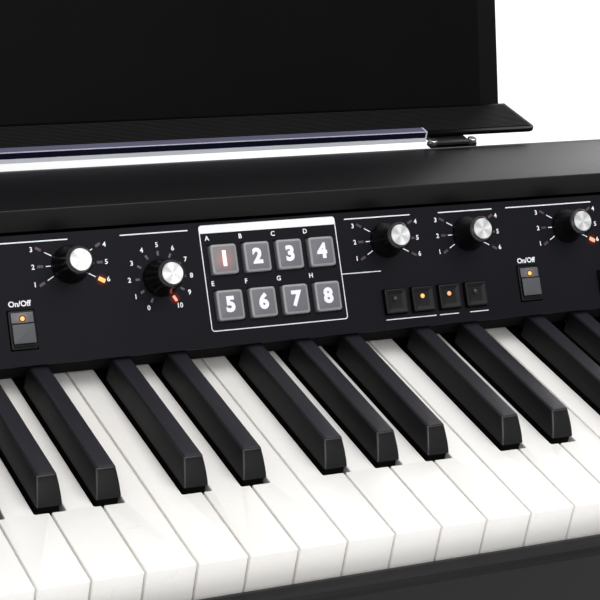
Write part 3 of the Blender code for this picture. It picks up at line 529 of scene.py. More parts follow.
# painted shade: the foot is a darker copy of the key plastic, standing in for the shade in the slot round it
EBONY_FOOT_PAINTED_SHADE = moulded("ebony_key_foot", (0.0015, 0.0015, 0.0015), (0.003, 0.003, 0.003), 0.8, 0.05)
BLACK_KEY_FINISHES = [EBONY, EBONY_FOOT_PAINTED_SHADE, EBONY_TOP_PAINTED_LIGHTER, EBONY_RIM_PAINTED_HIGHLIGHT]
CHAMFER = moulded("knob_chamfer_metal", (0.028, 0.028, 0.030), (0.045, 0.045, 0.048), 0.24, depth=0.001,
                  metal=1.0)
SPUN = spun_metal()
INK_WHITE = grained("white_screen_ink", (0.58, 0.60, 0.64), (0.80, 0.81, 0.84), 0.5, pebbles=900.0,
                    tones=(0.3, 0.6))[0]
LAMP_OFF = lamp("lamp_off", (0, 0, 0), 0, (0.040, 0.018, 0.026))
RING_OFF = lamp("ring_lamp_off", (0, 0, 0), 0, (0.05, 0.05, 0.064))
LAMP_AMBER = lamp("lamp_amber", (1.0, 0.38, 0.025), 1.4)
LAMP_ORANGE = lamp("lamp_orange", (1.0, 0.24, 0.05), 1.4)
LAMP_RED = lamp("lamp_red", (1.0, 0.21, 0.10), 1.5)
# painted reflections: the clear page stop is drawn opaque, each band coloured as the plastic's reflection
# looks
STRIP_TOP_PAINTED_REFLECTION = moulded("page_stop_top", (0.085, 0.083, 0.135), (0.125, 0.122, 0.185), 0.25)
STRIP_PAINTED_DARK_REFLECTION = moulded("page_stop_backing", (0.003, 0.003, 0.010), (0.006, 0.006, 0.018), 0.25, 0.1)
STRIP_LIP_PAINTED_LIGHT = moulded("page_stop_lip", (0.52, 0.54, 0.58), (0.68, 0.70, 0.74), 0.2)
STRIP_EDGE_PAINTED_HIGHLIGHT = moulded("page_stop_edge", (0.45, 0.46, 0.54), (0.62, 0.63, 0.72), 0.3)
DESK_BLACK = moulded("desk_satin_black", (0.0008, 0.0007, 0.0009), (0.0018, 0.0015, 0.0019), 0.4, 0.04,
                     pebbles=2200.0, depth=0.012)
LEDGE_BLACK = moulded("ledge_satin_black", (0.0004, 0.0003, 0.0004), (0.0010, 0.0008, 0.0010), 0.33, 0.05,
                      pebbles=2200.0, depth=0.006)
STEEL_BLACK = moulded("coated_steel_black", (0.003, 0.003, 0.003), (0.007, 0.007, 0.007), 0.4, 0.2,
                      pebbles=1800.0)
BRIGHT_STEEL = moulded("bright_screw_steel", (0.42, 0.42, 0.43), (0.60, 0.60, 0.61), 0.22, pebbles=900.0,
                       depth=0.004, metal=1.0)
SOCKET_BLACK = moulded("socket_plastic_black", (0.007, 0.007, 0.007), (0.011, 0.011, 0.011), 0.45)
BED_WOOD = moulded("key_frame_board", (0.30, 0.17, 0.11), (0.40, 0.24, 0.16), 0.6, pebbles=300.0,
                   depth=0.05)
FOOT_RUBBER = moulded("foot_rubber", (0.012, 0.012, 0.012), (0.022, 0.022, 0.022), 0.75, pebbles=700.0,
                      depth=0.05)
BOARD_GREEN = moulded("circuit_board_green", (0.01, 0.08, 0.03), (0.02, 0.12, 0.05), 0.4, pebbles=500.0)
FELT = felt()
PANEL_BLACK = panel_paint()


# Mesh work

def new_object(name, data):
    """An object in the scene."""
    item = bpy.data.objects.new(name, data)
    bpy.context.scene.collection.objects.link(item)
    return item


def as_mesh(bm, name):
    """The mesh of a bmesh with its faces turned outwards, the bmesh being freed."""
    bmesh.ops.recalc_face_normals(bm, faces=bm.faces)
    mesh = bpy.data.meshes.new(name)
    bm.to_mesh(mesh)
    bm.free()
    return mesh


def finish_piece(name, source, finishes, replaced=(), body="root", sharp=35):
    """Make a piece of a bmesh or a mesh, give it its materials and put it on a body."""
    mesh = as_mesh(source, name) if isinstance(source, bmesh.types.BMesh) else source
    mesh.name = name
    for number, material in enumerate(finishes):
        if number < len(mesh.materials):
            mesh.materials[number] = material
        else:
            mesh.materials.append(material)
    mesh.shade_smooth()
    mesh.set_sharp_from_angle(angle=math.radians(sharp))
    item = new_object(name, mesh)
    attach(item, body)
    if replaced:
        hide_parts(*replaced)
    return item


def band(bm, low, high, finish=0):
    """Quads between two rings of as many vertices."""
    for number in range(len(low)):
        after = (number + 1) % len(low)
        bm.faces.new((low[number], low[after], high[after], high[number])).material_index = finish


def skin(bm, rings, finishes=None, cap_start=True, cap_end=True):
    """Skin rings of points with quads, finishes giving each band's material and then the end cap's."""
    rows = [[bm.verts.new(point) for point in ring] for ring in rings]
    finishes = finishes or [0] * len(rings)
    for low, high, finish in zip(rows, rows[1:], finishes):
        band(bm, low, high, finish)
    if cap_start:
        bm.faces.new(rows[0][::-1]).material_index = finishes[0]
    if cap_end:
        bm.faces.new(rows[-1]).material_index = finishes[-1]
    return rows


def rounded_ring(low, high, radius, z, steps=4):
    """Points counter-clockwise round a rectangle with rounded corners, at a height."""
    radius = max(radius, 0.01 * MM)
    centres = [(high[0] - radius, low[1] + radius, -90), (high[0] - radius, high[1] - radius, 0),
               (low[0] + radius, high[1] - radius, 90), (low[0] + radius, low[1] + radius, 180)]
    points = []
    for x, y, start in centres:
        points += [Vector((*point, z)) for point in arc((x, y), radius, start, start + 90, steps)]
    return points


def inset_rings(size, rows):
    """Rounded rings about the origin, each from its inset, its corner and its height in millimetres."""
    rings = []
    for inset, corner, z in rows:
        half = (size[0] / 2 - inset * MM, size[1] / 2 - inset * MM)
        rings.append(rounded_ring((-half[0], -half[1]), half, (corner - inset) * MM, z * MM))
    return rings


def round_rings(profile, steps, centre=(0, 0)):
    """Circles of points, each from its radius and its height."""
    turns = [2 * math.pi * step / steps for step in range(steps)]
    return [[Vector((centre[0] + radius * math.cos(turn), centre[1] + radius * math.sin(turn), z))
             for turn in turns] for radius, z in profile]


def in_metres(rows):
    """Tuples of millimetres in metres."""
    return [tuple(value * MM for value in row) for row in rows]


def flat_map(bm, scale, centre=(0.0, 0.0)):
    """Give a shape a flat map of its own x and y, measured from a centre and divided by a length."""
    layer = bm.loops.layers.uv.new("flat")
    for face in bm.faces:
        for loop in face.loops:
            place = loop.vert.co
            loop[layer].uv = ((place.x - centre[0]) / scale, (place.y - centre[1]) / scale)


def arc(centre, radius, start, end, steps):
    """Points along an arc, its angles in degrees."""
    points = []
    for step in range(steps + 1):
        angle = math.radians(start + (end - start) * step / steps)
        points.append(Vector((centre[0] + radius * math.cos(angle), centre[1] + radius * math.sin(angle))))
    return points


def inset_line(points, depth):
    """An open line of 2D points moved to its right by a depth."""
    moved = []
    for number, here in enumerate(points):
        steps = []
        if number:
            steps.append(here - points[number - 1])
        if number < len(points) - 1:
            steps.append(points[number + 1] - here)
        sides = [Vector((step.y, -step.x)).normalized() for step in steps if step.length > 1e-9]
        mitre = sum(sides, Vector((0, 0))).normalized()
        moved.append(here + mitre * depth / max(0.3, mitre.dot(sides[0])))
    return moved


def drawn_along_x(bm, outline, x_low, x_high, finish=0):
    """Draw a closed Y-Z outline along X into a bmesh, with both ends filled."""
    rings = [[Vector((x, y, z)) for y, z in outline] for x in (x_low, x_high)]
    return skin(bm, rings, [finish, finish])


def evaluated_mesh(item):
    """The mesh of an object with its modifiers, the object being removed."""
    bpy.context.view_layer.update()
    mesh = bpy.data.meshes.new_from_object(item.evaluated_get(bpy.context.evaluated_depsgraph_get()))
    bpy.data.objects.remove(item, do_unlink=True)
    return mesh


def add_mesh(bm, mesh, matrix, finish=None):
    """Add a mesh to a bmesh at a place, all of it in one material where a number is given."""
    before = len(bm.faces)
    copy = mesh.copy()
    copy.transform(matrix)
    bm.from_mesh(copy)
    bpy.data.meshes.remove(copy)
    if finish is not None:
        bm.faces.ensure_lookup_table()
        for face in bm.faces[before:]:
            face.material_index = finish


def lettering(bm, text, place, height, bold, finish=0):
    """Flat raised lettering about a place, its capitals as tall as the height."""
    curve = bpy.data.curves.new("lettering", "FONT")
    curve.body = text
    curve.size = height / 0.7
    curve.offset = bold
    curve.extrude = INK / 2
    curve.align_x = "CENTER"
    curve.align_y = "CENTER"
    curve.resolution_u = 3
    add_mesh(bm, evaluated_mesh(new_object("lettering", curve)), Matrix.Translation(place), finish)


def bar(bm, start, end, width):
    """A printed line between two points of the panel, with round ends."""
    start = Vector(start)
    end = Vector(end)
    turn = math.degrees(math.atan2(end.y - start.y, end.x - start.x))
    outline = arc(end, width / 2, turn - 90, turn + 90, 4) + arc(start, width / 2, turn + 90, turn + 270, 4)
    skin(bm, [[Vector((*point, height)) for point in outline] for height in (INK / 4, INK)])


# Geometry Nodes

def new_geometry_tree(name, inputs):
    """An empty geometry tree with its own inputs and a material."""
    shape = ("Geometry", "Geometry")
    return new_group("GeometryNodeTree", name, [shape, *inputs, ("Material", "Material")], [shape])


def run_tree(tree, mesh, values):
    """Run a geometry tree on a mesh with its inputs set, and return the plain result."""
    item = new_object("from_" + tree.name, mesh)
    modifier = item.modifiers.new("made", "NODES")
    modifier.node_group = tree
    for socket in tree.interface.items_tree:
        if socket.in_out == "INPUT" and socket.name in values:
            modifier[socket.identifier] = values[socket.name]
    return evaluated_mesh(item)


def vector(tree, **parts):
    """A vector of sockets or numbers, as an output socket."""
    return add_node(tree, "ShaderNodeCombineXYZ", inputs=parts).outputs["Vector"]


def stamp(tree, given, end, points, piece, **inputs):
    """Put a piece on points, each turned by the point's own angle, as plain geometry of one material."""
    angle = add_node(tree, "GeometryNodeInputNamedAttribute", data_type="FLOAT", inputs={"Name": "turn"})
    inputs["Rotation"] = vector(tree, Z=angle.outputs["Attribute"])
    copies = add_node(tree, "GeometryNodeInstanceOnPoints",
                      inputs={"Points": points, "Instance": piece, **inputs})
    real = add_node(tree, "GeometryNodeRealizeInstances", inputs={"Geometry": copies.outputs["Instances"]})
    dyed = add_node(tree, "GeometryNodeSetMaterial",
                    inputs={"Geometry": real.outputs["Geometry"], "Material": given["Material"]})
    feed(tree, end.inputs["Geometry"], dyed.outputs["Geometry"])
    return tree


def lamp_tree():
    """Rounded block lenses on points."""
    tree, given, end = new_geometry_tree("lamp_lenses", [
        ("Length", "Float", LAMP_LENGTH), ("Width", "Float", LAMP_WIDTH), ("Height", "Float", LAMP_HEIGHT)])
    size = vector(tree, X=given["Length"], Y=given["Width"], Z=maths(tree, "MULTIPLY", given["Height"], 2.0))
    lens = add_node(tree, "GeometryNodeMeshCube", inputs={"Size": size})
    rounded = add_node(tree, "GeometryNodeSubdivisionSurface",
                       inputs={"Mesh": lens.outputs["Mesh"], "Level": 3, "Edge Crease": 0.62})
    return stamp(tree, given, end, given["Geometry"], rounded.outputs["Mesh"])


def rib_tree():
    """A row of round ribs side by side along Y, each drawn along X."""
    tree, given, end = new_geometry_tree("rib_row", [
        ("Count", "Int", 9), ("Pitch", "Float", MM), ("Length", "Float", 0.1), ("Radius", "Float", 0.4 * MM)])
    row = add_node(tree, "GeometryNodeMeshLine", mode="OFFSET",
                   inputs={"Count": given["Count"], "Offset": vector(tree, Y=given["Pitch"])})
    tips = [vector(tree, X=maths(tree, "MULTIPLY", given["Length"], share)) for share in (-0.5, 0.5)]
    spine = add_node(tree, "GeometryNodeCurvePrimitiveLine", inputs={"Start": tips[0], "End": tips[1]})
    section = add_node(tree, "GeometryNodeCurvePrimitiveCircle",
                       inputs={"Resolution": 10, "Radius": given["Radius"]})
    rib = add_node(tree, "GeometryNodeCurveToMesh", inputs={
        "Curve": spine.outputs["Curve"], "Profile Curve": section.outputs["Curve"], "Fill Caps": True})
    return stamp(tree, given, end, row.outputs["Mesh"], rib.outputs["Mesh"])


def stamped_tree():
    """Copies of one piece on points."""
    tree, given, end = new_geometry_tree("stamped_pieces", [("Piece", "Object"), ("Size", "Float", 1.0)])
    source = add_node(tree, "GeometryNodeObjectInfo", inputs={"Object": given["Piece"]})
    scale = vector(tree, X=given["Size"], Y=given["Size"], Z=given["Size"])
    return stamp(tree, given, end, given["Geometry"], source.outputs["Geometry"], Scale=scale)


LAMP_LENSES = lamp_tree()
RIB_ROW = rib_tree()
STAMPED = stamped_tree()


def places_mesh(places):
    """A mesh of loose points, each with its turn in radians, from (x, y, z, turn)."""
    mesh = bpy.data.meshes.new("places")
    mesh.from_pydata([place[:3] for place in places], [], [])
    turn = mesh.attributes.new("turn", "FLOAT", "POINT")
    turn.data.foreach_set("value", [place[3] for place in places])
    return mesh


def stamped(pattern, places, material):
    """Copies of a bmesh at places, the bmesh being freed."""
    piece = new_object("pattern", as_mesh(pattern, "pattern"))
    copies = run_tree(STAMPED, places_mesh(places), {"Piece": piece, "Material": material})
    bpy.data.objects.remove(piece, do_unlink=True)
    return copies


# Keys

def letter_of(index):
    """The note letter of a white key counted from the lowest."""
    return LETTERS[(LETTERS.index(LOWEST_LETTER) + index) % len(LETTERS)]


def joint_x(index):
    """Where the joint to the left of a white key lies."""
    return (index - WHITE_COUNT / 2) * KEY_PITCH


def black_at(index):
    """The centre of the black key over a joint, or None where there is none."""
    if index <= 0 or index >= WHITE_COUNT or letter_of(index) not in BLACK_OFFSET:
        return None
    return joint_x(index) + BLACK_OFFSET[letter_of(index)]


def bevel(bm, edges, width, segments):
    """Round some edges of a bmesh."""
    bmesh.ops.bevel(bm, geom=edges, offset=width, segments=segments, profile=0.5, affect="EDGES",
                    clamp_overlap=True)


def add_white_key(bm, index):
    """A white key with rounded upper edges and corners: head, shoulders and narrowed tail."""
    left = joint_x(index) + KEY_GAP / 2
    right = joint_x(index + 1) - KEY_GAP / 2
    tail_left = left if black_at(index) is None else black_at(index) + BLACK_SLOT / 2
    tail_right = right if black_at(index + 1) is None else black_at(index + 1) - BLACK_SLOT / 2
    shoulder = KEY_FRONT + HEAD_LENGTH
    points = [(left, KEY_FRONT), (right, KEY_FRONT), (right, shoulder)]
    if tail_right < right:
        points.append((tail_right, shoulder))
    points += [(tail_right, KEY_REAR), (tail_left, KEY_REAR)]
    if tail_left > left:
        points.append((tail_left, shoulder))
    points.append((left, shoulder))
    key = bmesh.new()
    base = key.faces.new([key.verts.new((x, y, KEY_BOTTOM)) for x, y in points][::-1])
    raised = bmesh.ops.extrude_face_region(key, geom=[base])
    for item in raised["geom"]:
        if isinstance(item, bmesh.types.BMVert):
            item.co.z = KEY_TOP
    key.normal_update()
    uprights = [edge for edge in key.edges
                if abs(edge.verts[0].co.z - edge.verts[1].co.z) > MM and edge.calc_face_angle(0) > 0.5]
    bevel(key, uprights, KEY_CORNER, 3)
    rim = [edge for edge in key.edges if all(KEY_TOP - vert.co.z < 1e-6 for vert in edge.verts)
           and len(edge.link_faces) == 2
           and any(abs(face.normal.z) < 0.5 for face in edge.link_faces)]
    bevel(key, rim, KEY_EDGE, 3)
    add_mesh(bm, as_mesh(key, "white_key"), Matrix())


def black_ring(front, rear, half, corner, z, steps=4):
    """A ring round a black key at a height."""
    return rounded_ring((-half, front), (half, rear), corner, z, steps)


def add_black_key(bm, index):
    """A black key: a tapered, raked finger with a crowned top over an undercut foot and a plain tail."""
    waist = KEY_TOP + BLACK_FOOT
    half = BLACK_WIDTH / 2
    top_half = BLACK_TOP_WIDTH / 2
    crown = BLACK_TOP - BLACK_CROWN
    top_front = BLACK_FRONT + BLACK_RAKE - BLACK_EDGE
    rise = crown - BLACK_EDGE - waist
    rings = [black_ring(BLACK_FRONT + BLACK_UNDERCUT, BLACK_REAR, half - BLACK_UNDERCUT, 0.8 * MM, z)
             for z in (KEY_BOTTOM, waist - 0.2 * MM)]
    for step in range(7):
        share = step / 6
        bow = math.sin(share * math.pi) * BLACK_BOW
        front = BLACK_FRONT + (BLACK_RAKE - BLACK_EDGE) * share ** 1.25
        rings.append(black_ring(front, BLACK_REAR, half + (top_half - half) * share + bow, BLACK_EDGE,
                                waist + rise * share))
    for step in range(1, 5):
        angle = math.pi / 2 * step / 4
        inward = BLACK_EDGE * (1 - math.cos(angle))
        rings.append(black_ring(top_front + inward, BLACK_REAR - inward, top_half - inward,
                                BLACK_EDGE - inward * 0.6, crown - BLACK_EDGE + BLACK_EDGE * math.sin(angle)))
    for share in (0.35, 0.8):
        inward = BLACK_EDGE + share * (top_half - BLACK_EDGE)
        rings.append(black_ring(top_front + inward + share * 3 * MM, BLACK_REAR - inward, top_half - inward,
                                0.3 * MM, crown + BLACK_CROWN * share))
    key = bmesh.new()
    # the foot takes the painted-shade copy of the plastic, a band of the top's rounding the painted-highlight
    # rim, and the top the copy painted lighter
    skin(key, rings, [1, 1] + [0] * 7 + [3, 0] + [2] * (len(rings) - 11))
    key.normal_update()
    # the faces turned to the front and left take the painted-highlight rim
    for face in key.faces:
        if face.material_index == 0 and face.normal.y < -0.4 and face.normal.x < -0.4:
            face.material_index = 3
    # the tail takes the painted-shade copy too
    skin(key, [black_ring(BLACK_REAR - 4 * MM, KEY_REAR, half, 0.5 * MM, z, 2)
               for z in (KEY_BOTTOM + 0.01 * MM, KEY_TOP - BLACK_SHOULDER)], [1, 1])
    add_mesh(bm, as_mesh(key, "black_key"), Matrix.Translation((black_at(index), 0, 0)))


def keyboard():
    """The played octave on its own bodies, and the other keys on the bed."""
    white_rest = bmesh.new()
    black_rest = bmesh.new()
    for index in range(WHITE_COUNT):
        played = PLAYED_FIRST <= index < PLAYED_FIRST + PLAYED_COUNT
        own = bmesh.new() if played else white_rest
        add_white_key(own, index)
        if played:
            name = "key_" + letter_of(index).lower()
            finish_piece("ivory_" + name, own, [IVORY], [name], name)
        if black_at(index) is None:
            continue
        played = played and index > PLAYED_FIRST
        own = bmesh.new() if played else black_rest
        add_black_key(own, index)
        if played:
            name = f"key_{letter_of(index - 1).lower()}_sharp"
            finish_piece("ebony_" + name, own, BLACK_KEY_FINISHES, [name], name)
    finish_piece("ivory_keys_at_rest", white_rest, [IVORY], ["key_bed"])
    finish_piece("ebony_keys_at_rest", black_rest, BLACK_KEY_FINISHES, ["key_bed"])


def key_frame():
    """The board under the keys, its top sloping up to the rail the keys turn on."""
    low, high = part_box("key_bed")
    rail_front = KEY_FRONT + RAIL_BACK - RAIL_HALF
    rail_rear = KEY_FRONT + RAIL_BACK + RAIL_HALF
    rail_top = KEY_BOTTOM - CLEAR
    front = KEY_FRONT + BED_BACK
    bed = bmesh.new()
    outline = [(front, low.z), (rail_rear, low.z), (rail_rear, rail_top), (rail_front, rail_top),
               (rail_front, KEY_BOTTOM - BED_SUNK[1]), (front, KEY_BOTTOM - BED_SUNK[0])]
    drawn_along_x(bed, outline, low.x, high.x)
    finish_piece("key_frame_board", bed, [BED_WOOD], ["key_bed"])


# Knobs

def knob_profile():
    """Radius and height up a knob's bell-shaped skirt and its waisted grip."""
    points = [(KNOB_RADIUS - 0.7 * MM, KNOB_FLOAT), (KNOB_RADIUS, KNOB_FLOAT + 0.25 * MM),
              (KNOB_RADIUS, KNOB_FLOAT + 0.9 * MM)]
    foot = KNOB_FLOAT + 0.9 * MM
    neck = KNOB_RISE - 1.9 * MM
    for step in range(1, 17):
        share = step / 16
        flare = (1 - share) ** 2.3
        points.append((KNOB_WAIST_RADIUS + (KNOB_RADIUS - KNOB_WAIST_RADIUS) * flare
                       + (KNOB_TOP_RADIUS - KNOB_WAIST_RADIUS) * share ** 3, foot + (neck - foot) * share))
    return points


def knob_shape():
    """A knob about its own axis: black bell, bevelled metal ring and dished spun cap."""
    bm = bmesh.new()
    top = KNOB_TOP_RADIUS
    cap = KNOB_CAP_RADIUS
    bell = knob_profile()
    ring = [(top + 0.1 * MM, 1.75 * MM), (top + 0.1 * MM, 1.5 * MM), (top - 0.1 * MM, 1.25 * MM),
            (cap + 0.45 * MM, 0.75 * MM), (cap + 0.25 * MM, 0.8 * MM)]
    disc = [(cap, 0.85 * MM), (cap, 0.22 * MM), (cap - 0.22 * MM, 0.0), (cap - 0.6 * MM, 0.02 * MM),
            (cap * 0.6, 0.06 * MM), (cap * 0.3, 0.09 * MM), (cap * 0.05, 0.1 * MM)]
    profile = bell + [(radius, KNOB_RISE - below) for radius, below in ring + disc]
    skin(bm, round_rings(profile, 64), [0] * len(bell) + [2] * (len(ring) - 1) + [0] + [1] * len(disc))
    skin(bm, round_rings([(3.0 * MM, -7.7 * MM), (3.0 * MM, KNOB_FLOAT + 0.1 * MM)], 20), [0, 0])
    flat_map(bm, KNOB_CAP_RADIUS)
    return bm


def knobs():
    """All fourteen knobs."""
    for places, v in ((SELECTORS, SELECTOR_V), (DIALS, DIAL_V)):
        for name, x in places.items():
            bm = knob_shape()
            bm.transform(on_panel(x, v))
            finish_piece("turned_" + name, bm, [KNOB_BLACK, SPUN, CHAMFER], [name], name)


# Buttons

def pads():
    """The eight smoked square buttons with their figures."""
    rounding = [math.pi / 2 * step / 4 for step in range(1, 5)]
    rows = [(0.0, 1.6, -BUTTON_FOOT / MM), (0.0, 1.6, 1.5)]
    rows += [(0.75 * (1 - math.cos(angle)), 1.6, 1.5 + 0.75 * math.sin(angle)) for angle in rounding]
    rows += [(1.15, 2.0, 2.3), (1.35, 2.1, 2.14), (1.6, 2.3, 2.18)]
    for number in range(8):
        name = f"favourite_button_{number + 1}"
        bm = bmesh.new()
        # the sides and rim take the painted-highlight grey, the face the smoked grey
        skin(bm, inset_rings(PAD_SIZE, rows), [1] * (len(rows) - 2) + [0, 0])
        flat_map(bm, PAD_SIZE[0])
        lettering(bm, str(number + 1), (0, 0, 2.2 * MM), 7.0 * MM, 0.5 * MM, 2)
        bm.transform(on_panel(PAD_X[number % 4], PAD_V[number // 4]))
        faces = [PAD_GREY, PAD_RIM_PAINTED_HIGHLIGHT, PAD_FIGURE] if number else [PAD_LIT, PAD_RIM_PAINTED_HIGHLIGHT, PAD_FIGURE_LIT]
        finish_piece("smoked_" + name, bm, faces, [name], name)


def dished_button(name, x, lens):
    """A small black button with a dished face and a round lamp near its top."""
    bm = bmesh.new()
    skin(bm, inset_rings((SQUARE_SIDE, SQUARE_SIDE), [
        (0.0, 0.9, -BUTTON_FOOT / MM), (0.0, 0.9, 1.9), (0.15, 0.9, 2.25), (0.5, 1.0, 2.4), (1.0, 1.4, 2.35),
        (2.3, 2.8, 1.35), (2.6, 3.0, 1.3)]))
    centre = (0.0, 1.5 * MM)
    collar = [(1.75, 1.2), (1.75, 1.55), (1.5, 1.65), (1.25, 1.55), (1.2, 1.35)]
    dome = [(1.15, 1.3), (1.1, 1.6), (0.8, 1.85), (0.3, 1.98)]
    for finish, profile in enumerate((collar, dome)):
        skin(bm, round_rings(in_metres(profile), 28, centre), [finish] * len(profile))
    bm.transform(on_panel(x, SQUARE_V))
    finish_piece("dished_" + name, bm, [RUBBER, lens], [name], name)


def square_buttons():
    """The four small buttons and the one beside the modulation knob."""
    lenses = [SOCKET_BLACK, LAMP_AMBER, LAMP_ORANGE, SOCKET_BLACK]
    for number, (x, lens) in enumerate(zip(SQUARE_X, lenses)):
        dished_button(f"square_button_{number + 1}", x, lens)
    dished_button("speed_button", SPEED_BUTTON_X, SOCKET_BLACK)


def block(bm, low, high, radius, edge, finish=0, foot_finish=None):
    """A block with rounded corners and a rounded upper rim."""
    rings = [rounded_ring(low[:2], high[:2], radius, z) for z in (low[2], high[2] - edge)]
    for step in range(1, 4):
        angle = math.pi / 2 * step / 3
        inward = edge * (1 - math.cos(angle))
        rings.append(rounded_ring((low[0] + inward, low[1] + inward), (high[0] - inward, high[1] - inward),
                                  radius, high[2] - edge + edge * math.sin(angle)))
    side = finish if foot_finish is None else foot_finish
    skin(bm, rings, [side] + [finish] * (len(rings) - 1))


def on_off_switches():
    """The five on/off switches: a lamp window above a plain thumb face in a black surround."""
    half = SWITCH_SIZE[0] / 2
    top = SWITCH_SIZE[1] / 2
    split = top - 6.2 * MM
    rim = 0.95 * MM
    lamp_v = 5.1 * MM
    faces = [(split + 0.25 * MM, top - rim, 1.75 * MM, 0.3 * MM, 0),
             (-top + 2.6 * MM, split - 0.25 * MM, 2.3 * MM, 0.35 * MM, 1),
             (-top + rim, -top + 2.5 * MM, 1.35 * MM, 0.5 * MM, 2)]
    bezel = [(1.55, 1.5), (1.55, 1.86), (1.3, 1.9), (1.15, 1.8)]
    dome = [(1.1, 1.7), (1.05, 2.0), (0.7, 2.2), (0.25, 2.28)]
    for name, x in SWITCHES.items():
        bm = bmesh.new()
        block(bm, (-half, -top, -BUTTON_FOOT), (half, top, 0.9 * MM), 0.9 * MM, 0.35 * MM, 2)
        for low, high, rise, edge, finish in faces:
            block(bm, (-half + rim, low, 0.4 * MM), (half - rim, high, rise), 0.4 * MM, edge, finish, 2)
        for finish, profile in ((2, bezel), (3, dome)):
            skin(bm, round_rings(in_metres(profile), 28, (0, lamp_v)), [finish] * 4)
        flat_map(bm, half * 2, (0, lamp_v))
        bm.transform(on_panel(x, SWITCH_V))
        upper, lens = (SWITCH_LIT, LAMP_AMBER) if name in LIT_SWITCHES else (SWITCH_TOP, LAMP_OFF)
        finish_piece("faced_" + name, bm, [upper, SWITCH_FACE, RUBBER, lens], [name], name)


# Printing and lamps on the panel

def dial_places(x, radius):
    """The eleven places round a dial, from 0 to 10."""
    turns = [math.radians(90 + 150 - RING_STEP * number) for number in range(RING_COUNT)]
    return [(x + radius * math.cos(turn), DIAL_V + radius * math.sin(turn), turn) for turn in turns]


def selector_places(x):
    """The six lamp places of a selector, clockwise from the lower left, each turned to its knob."""
    cells = [(side * LAMP_SIDE, row * LAMP_STEP)
             for side, row in ((-1, -1), (-1, 0), (-1, 1), (1, 1), (1, 0), (1, -1))]
    return [(x + across, SELECTOR_V + up, math.atan2(up, across)) for across, up in cells]


def panel_lamps():
    """Every lamp lens on the panel, in one piece with a material for each kind."""
    kinds = {"off": (LAMP_OFF, (LAMP_LENGTH, LAMP_WIDTH)), "ring": (RING_OFF, RING_LAMP),
             "amber": (LAMP_AMBER, LIT_LAMP), "orange": (LAMP_ORANGE, LIT_LAMP),
             "red": (LAMP_RED, LIT_RING_LAMP)}
    lit = {"amp_type_knob": "amber", "modulation_knob": "orange", "drive_knob": "red"}
    groups = {kind: [] for kind in kinds}
    for name, x in (SELECTORS | DIALS).items():
        if name == "volume_knob":
            continue
        places = selector_places(x) if name in SELECTORS else dial_places(x, RING_RADIUS)
        unlit = "off" if name in SELECTORS else "ring"
        for place_x, v, turn in places:
            last = (place_x, v, turn) == places[-1]
            groups[lit.get(name, unlit) if last else unlit].append((place_x, v, LAMP_SEAT, turn))
    bm = bmesh.new()
    for number, (kind, (material, size)) in enumerate(kinds.items()):
        lenses = run_tree(LAMP_LENSES, places_mesh(groups[kind]),
                          {"Length": size[0], "Width": size[1], "Material": material})
        add_mesh(bm, lenses, PANEL, number)
    finish_piece("panel_lamp_lenses", bm, [material for material, _ in kinds.values()])


def frame_print(bm):
    """The outlined box round the eight buttons with its solid heading band."""
    outer = rounded_ring(FRAME_LOW, FRAME_HIGH, FRAME_CORNER, 0)
    inner = rounded_ring([part + FINE_LINE for part in FRAME_LOW], [part - FINE_LINE for part in FRAME_HIGH],
                         FRAME_CORNER - FINE_LINE, 0)
    rows = [[bm.verts.new((point.x, point.y, height)) for point in ring]
            for ring, height in ((inner, INK / 4), (outer, INK / 4), (outer, INK), (inner, INK))]
    for low_row, high_row in zip(rows, rows[1:] + rows[:1]):
        band(bm, low_row, high_row)
    margin = 0.2 * MM
    skin(bm, [rounded_ring((FRAME_LOW[0] + margin, FRAME_HIGH[1] - HEADING_DEPTH),
                           (FRAME_HIGH[0] - margin, FRAME_HIGH[1] - margin), 0.9 * MM, height)
              for height in (INK / 4, INK * 1.2)])


def printing():
    """White lines, frames, figures and switch marks on the panel."""
    bm = bmesh.new()
    for start, end in TITLE_LINES:
        bar(bm, (start * MM, TITLE_V), (end * MM, TITLE_V), LINE_WIDTH)
    frame_print(bm)
    for start, end in LINK_LINES:
        bar(bm, Vector(start) * MM, Vector(end) * MM, FINE_LINE)
    figures = []
    for x in SELECTORS.values():
        hub = Vector((x, SELECTOR_V))
        for number, (place_x, v, _) in enumerate(selector_places(x)):
            away = (Vector((place_x, v)) - hub).normalized() * MM
            inner, outer = SHORT_TICK if number in (1, 4) else LONG_TICK
            bar(bm, hub + away * inner, hub + away * outer, FINE_LINE)
            side = -1 if number < 3 else 1
            figures.append((str(number + 1), place_x + side * FIGURE_REACH, v))
    for x in DIALS.values():
        figures += [(str(number), place_x, v)
                    for number, (place_x, v, _) in enumerate(dial_places(x, RING_DIGITS))]
    for place_x, v, turn in dial_places(DIALS["volume_knob"], RING_RADIUS):
        reach = Vector((math.cos(turn), math.sin(turn))) * MM
        bar(bm, Vector((place_x, v)) - reach, Vector((place_x, v)) + reach, FINE_LINE)
    for number, letter in enumerate("ABCDEFGH"):
        figures.append((letter, PAD_X[number % 4] - PAD_LETTER_BACK, PAD_LETTER_V[number // 4]))
    for text, x, v in figures:
        lettering(bm, text, (x, v, LETTER_LIFT), FIGURE, FIGURE_BOLD)
    height, bold, v = ON_OFF
    for x in SWITCHES.values():
        lettering(bm, "On/Off", (x, v, LETTER_LIFT), height, bold)
    bm.transform(PANEL)
    finish_piece("panel_printing", bm, [INK_WHITE])


# Case

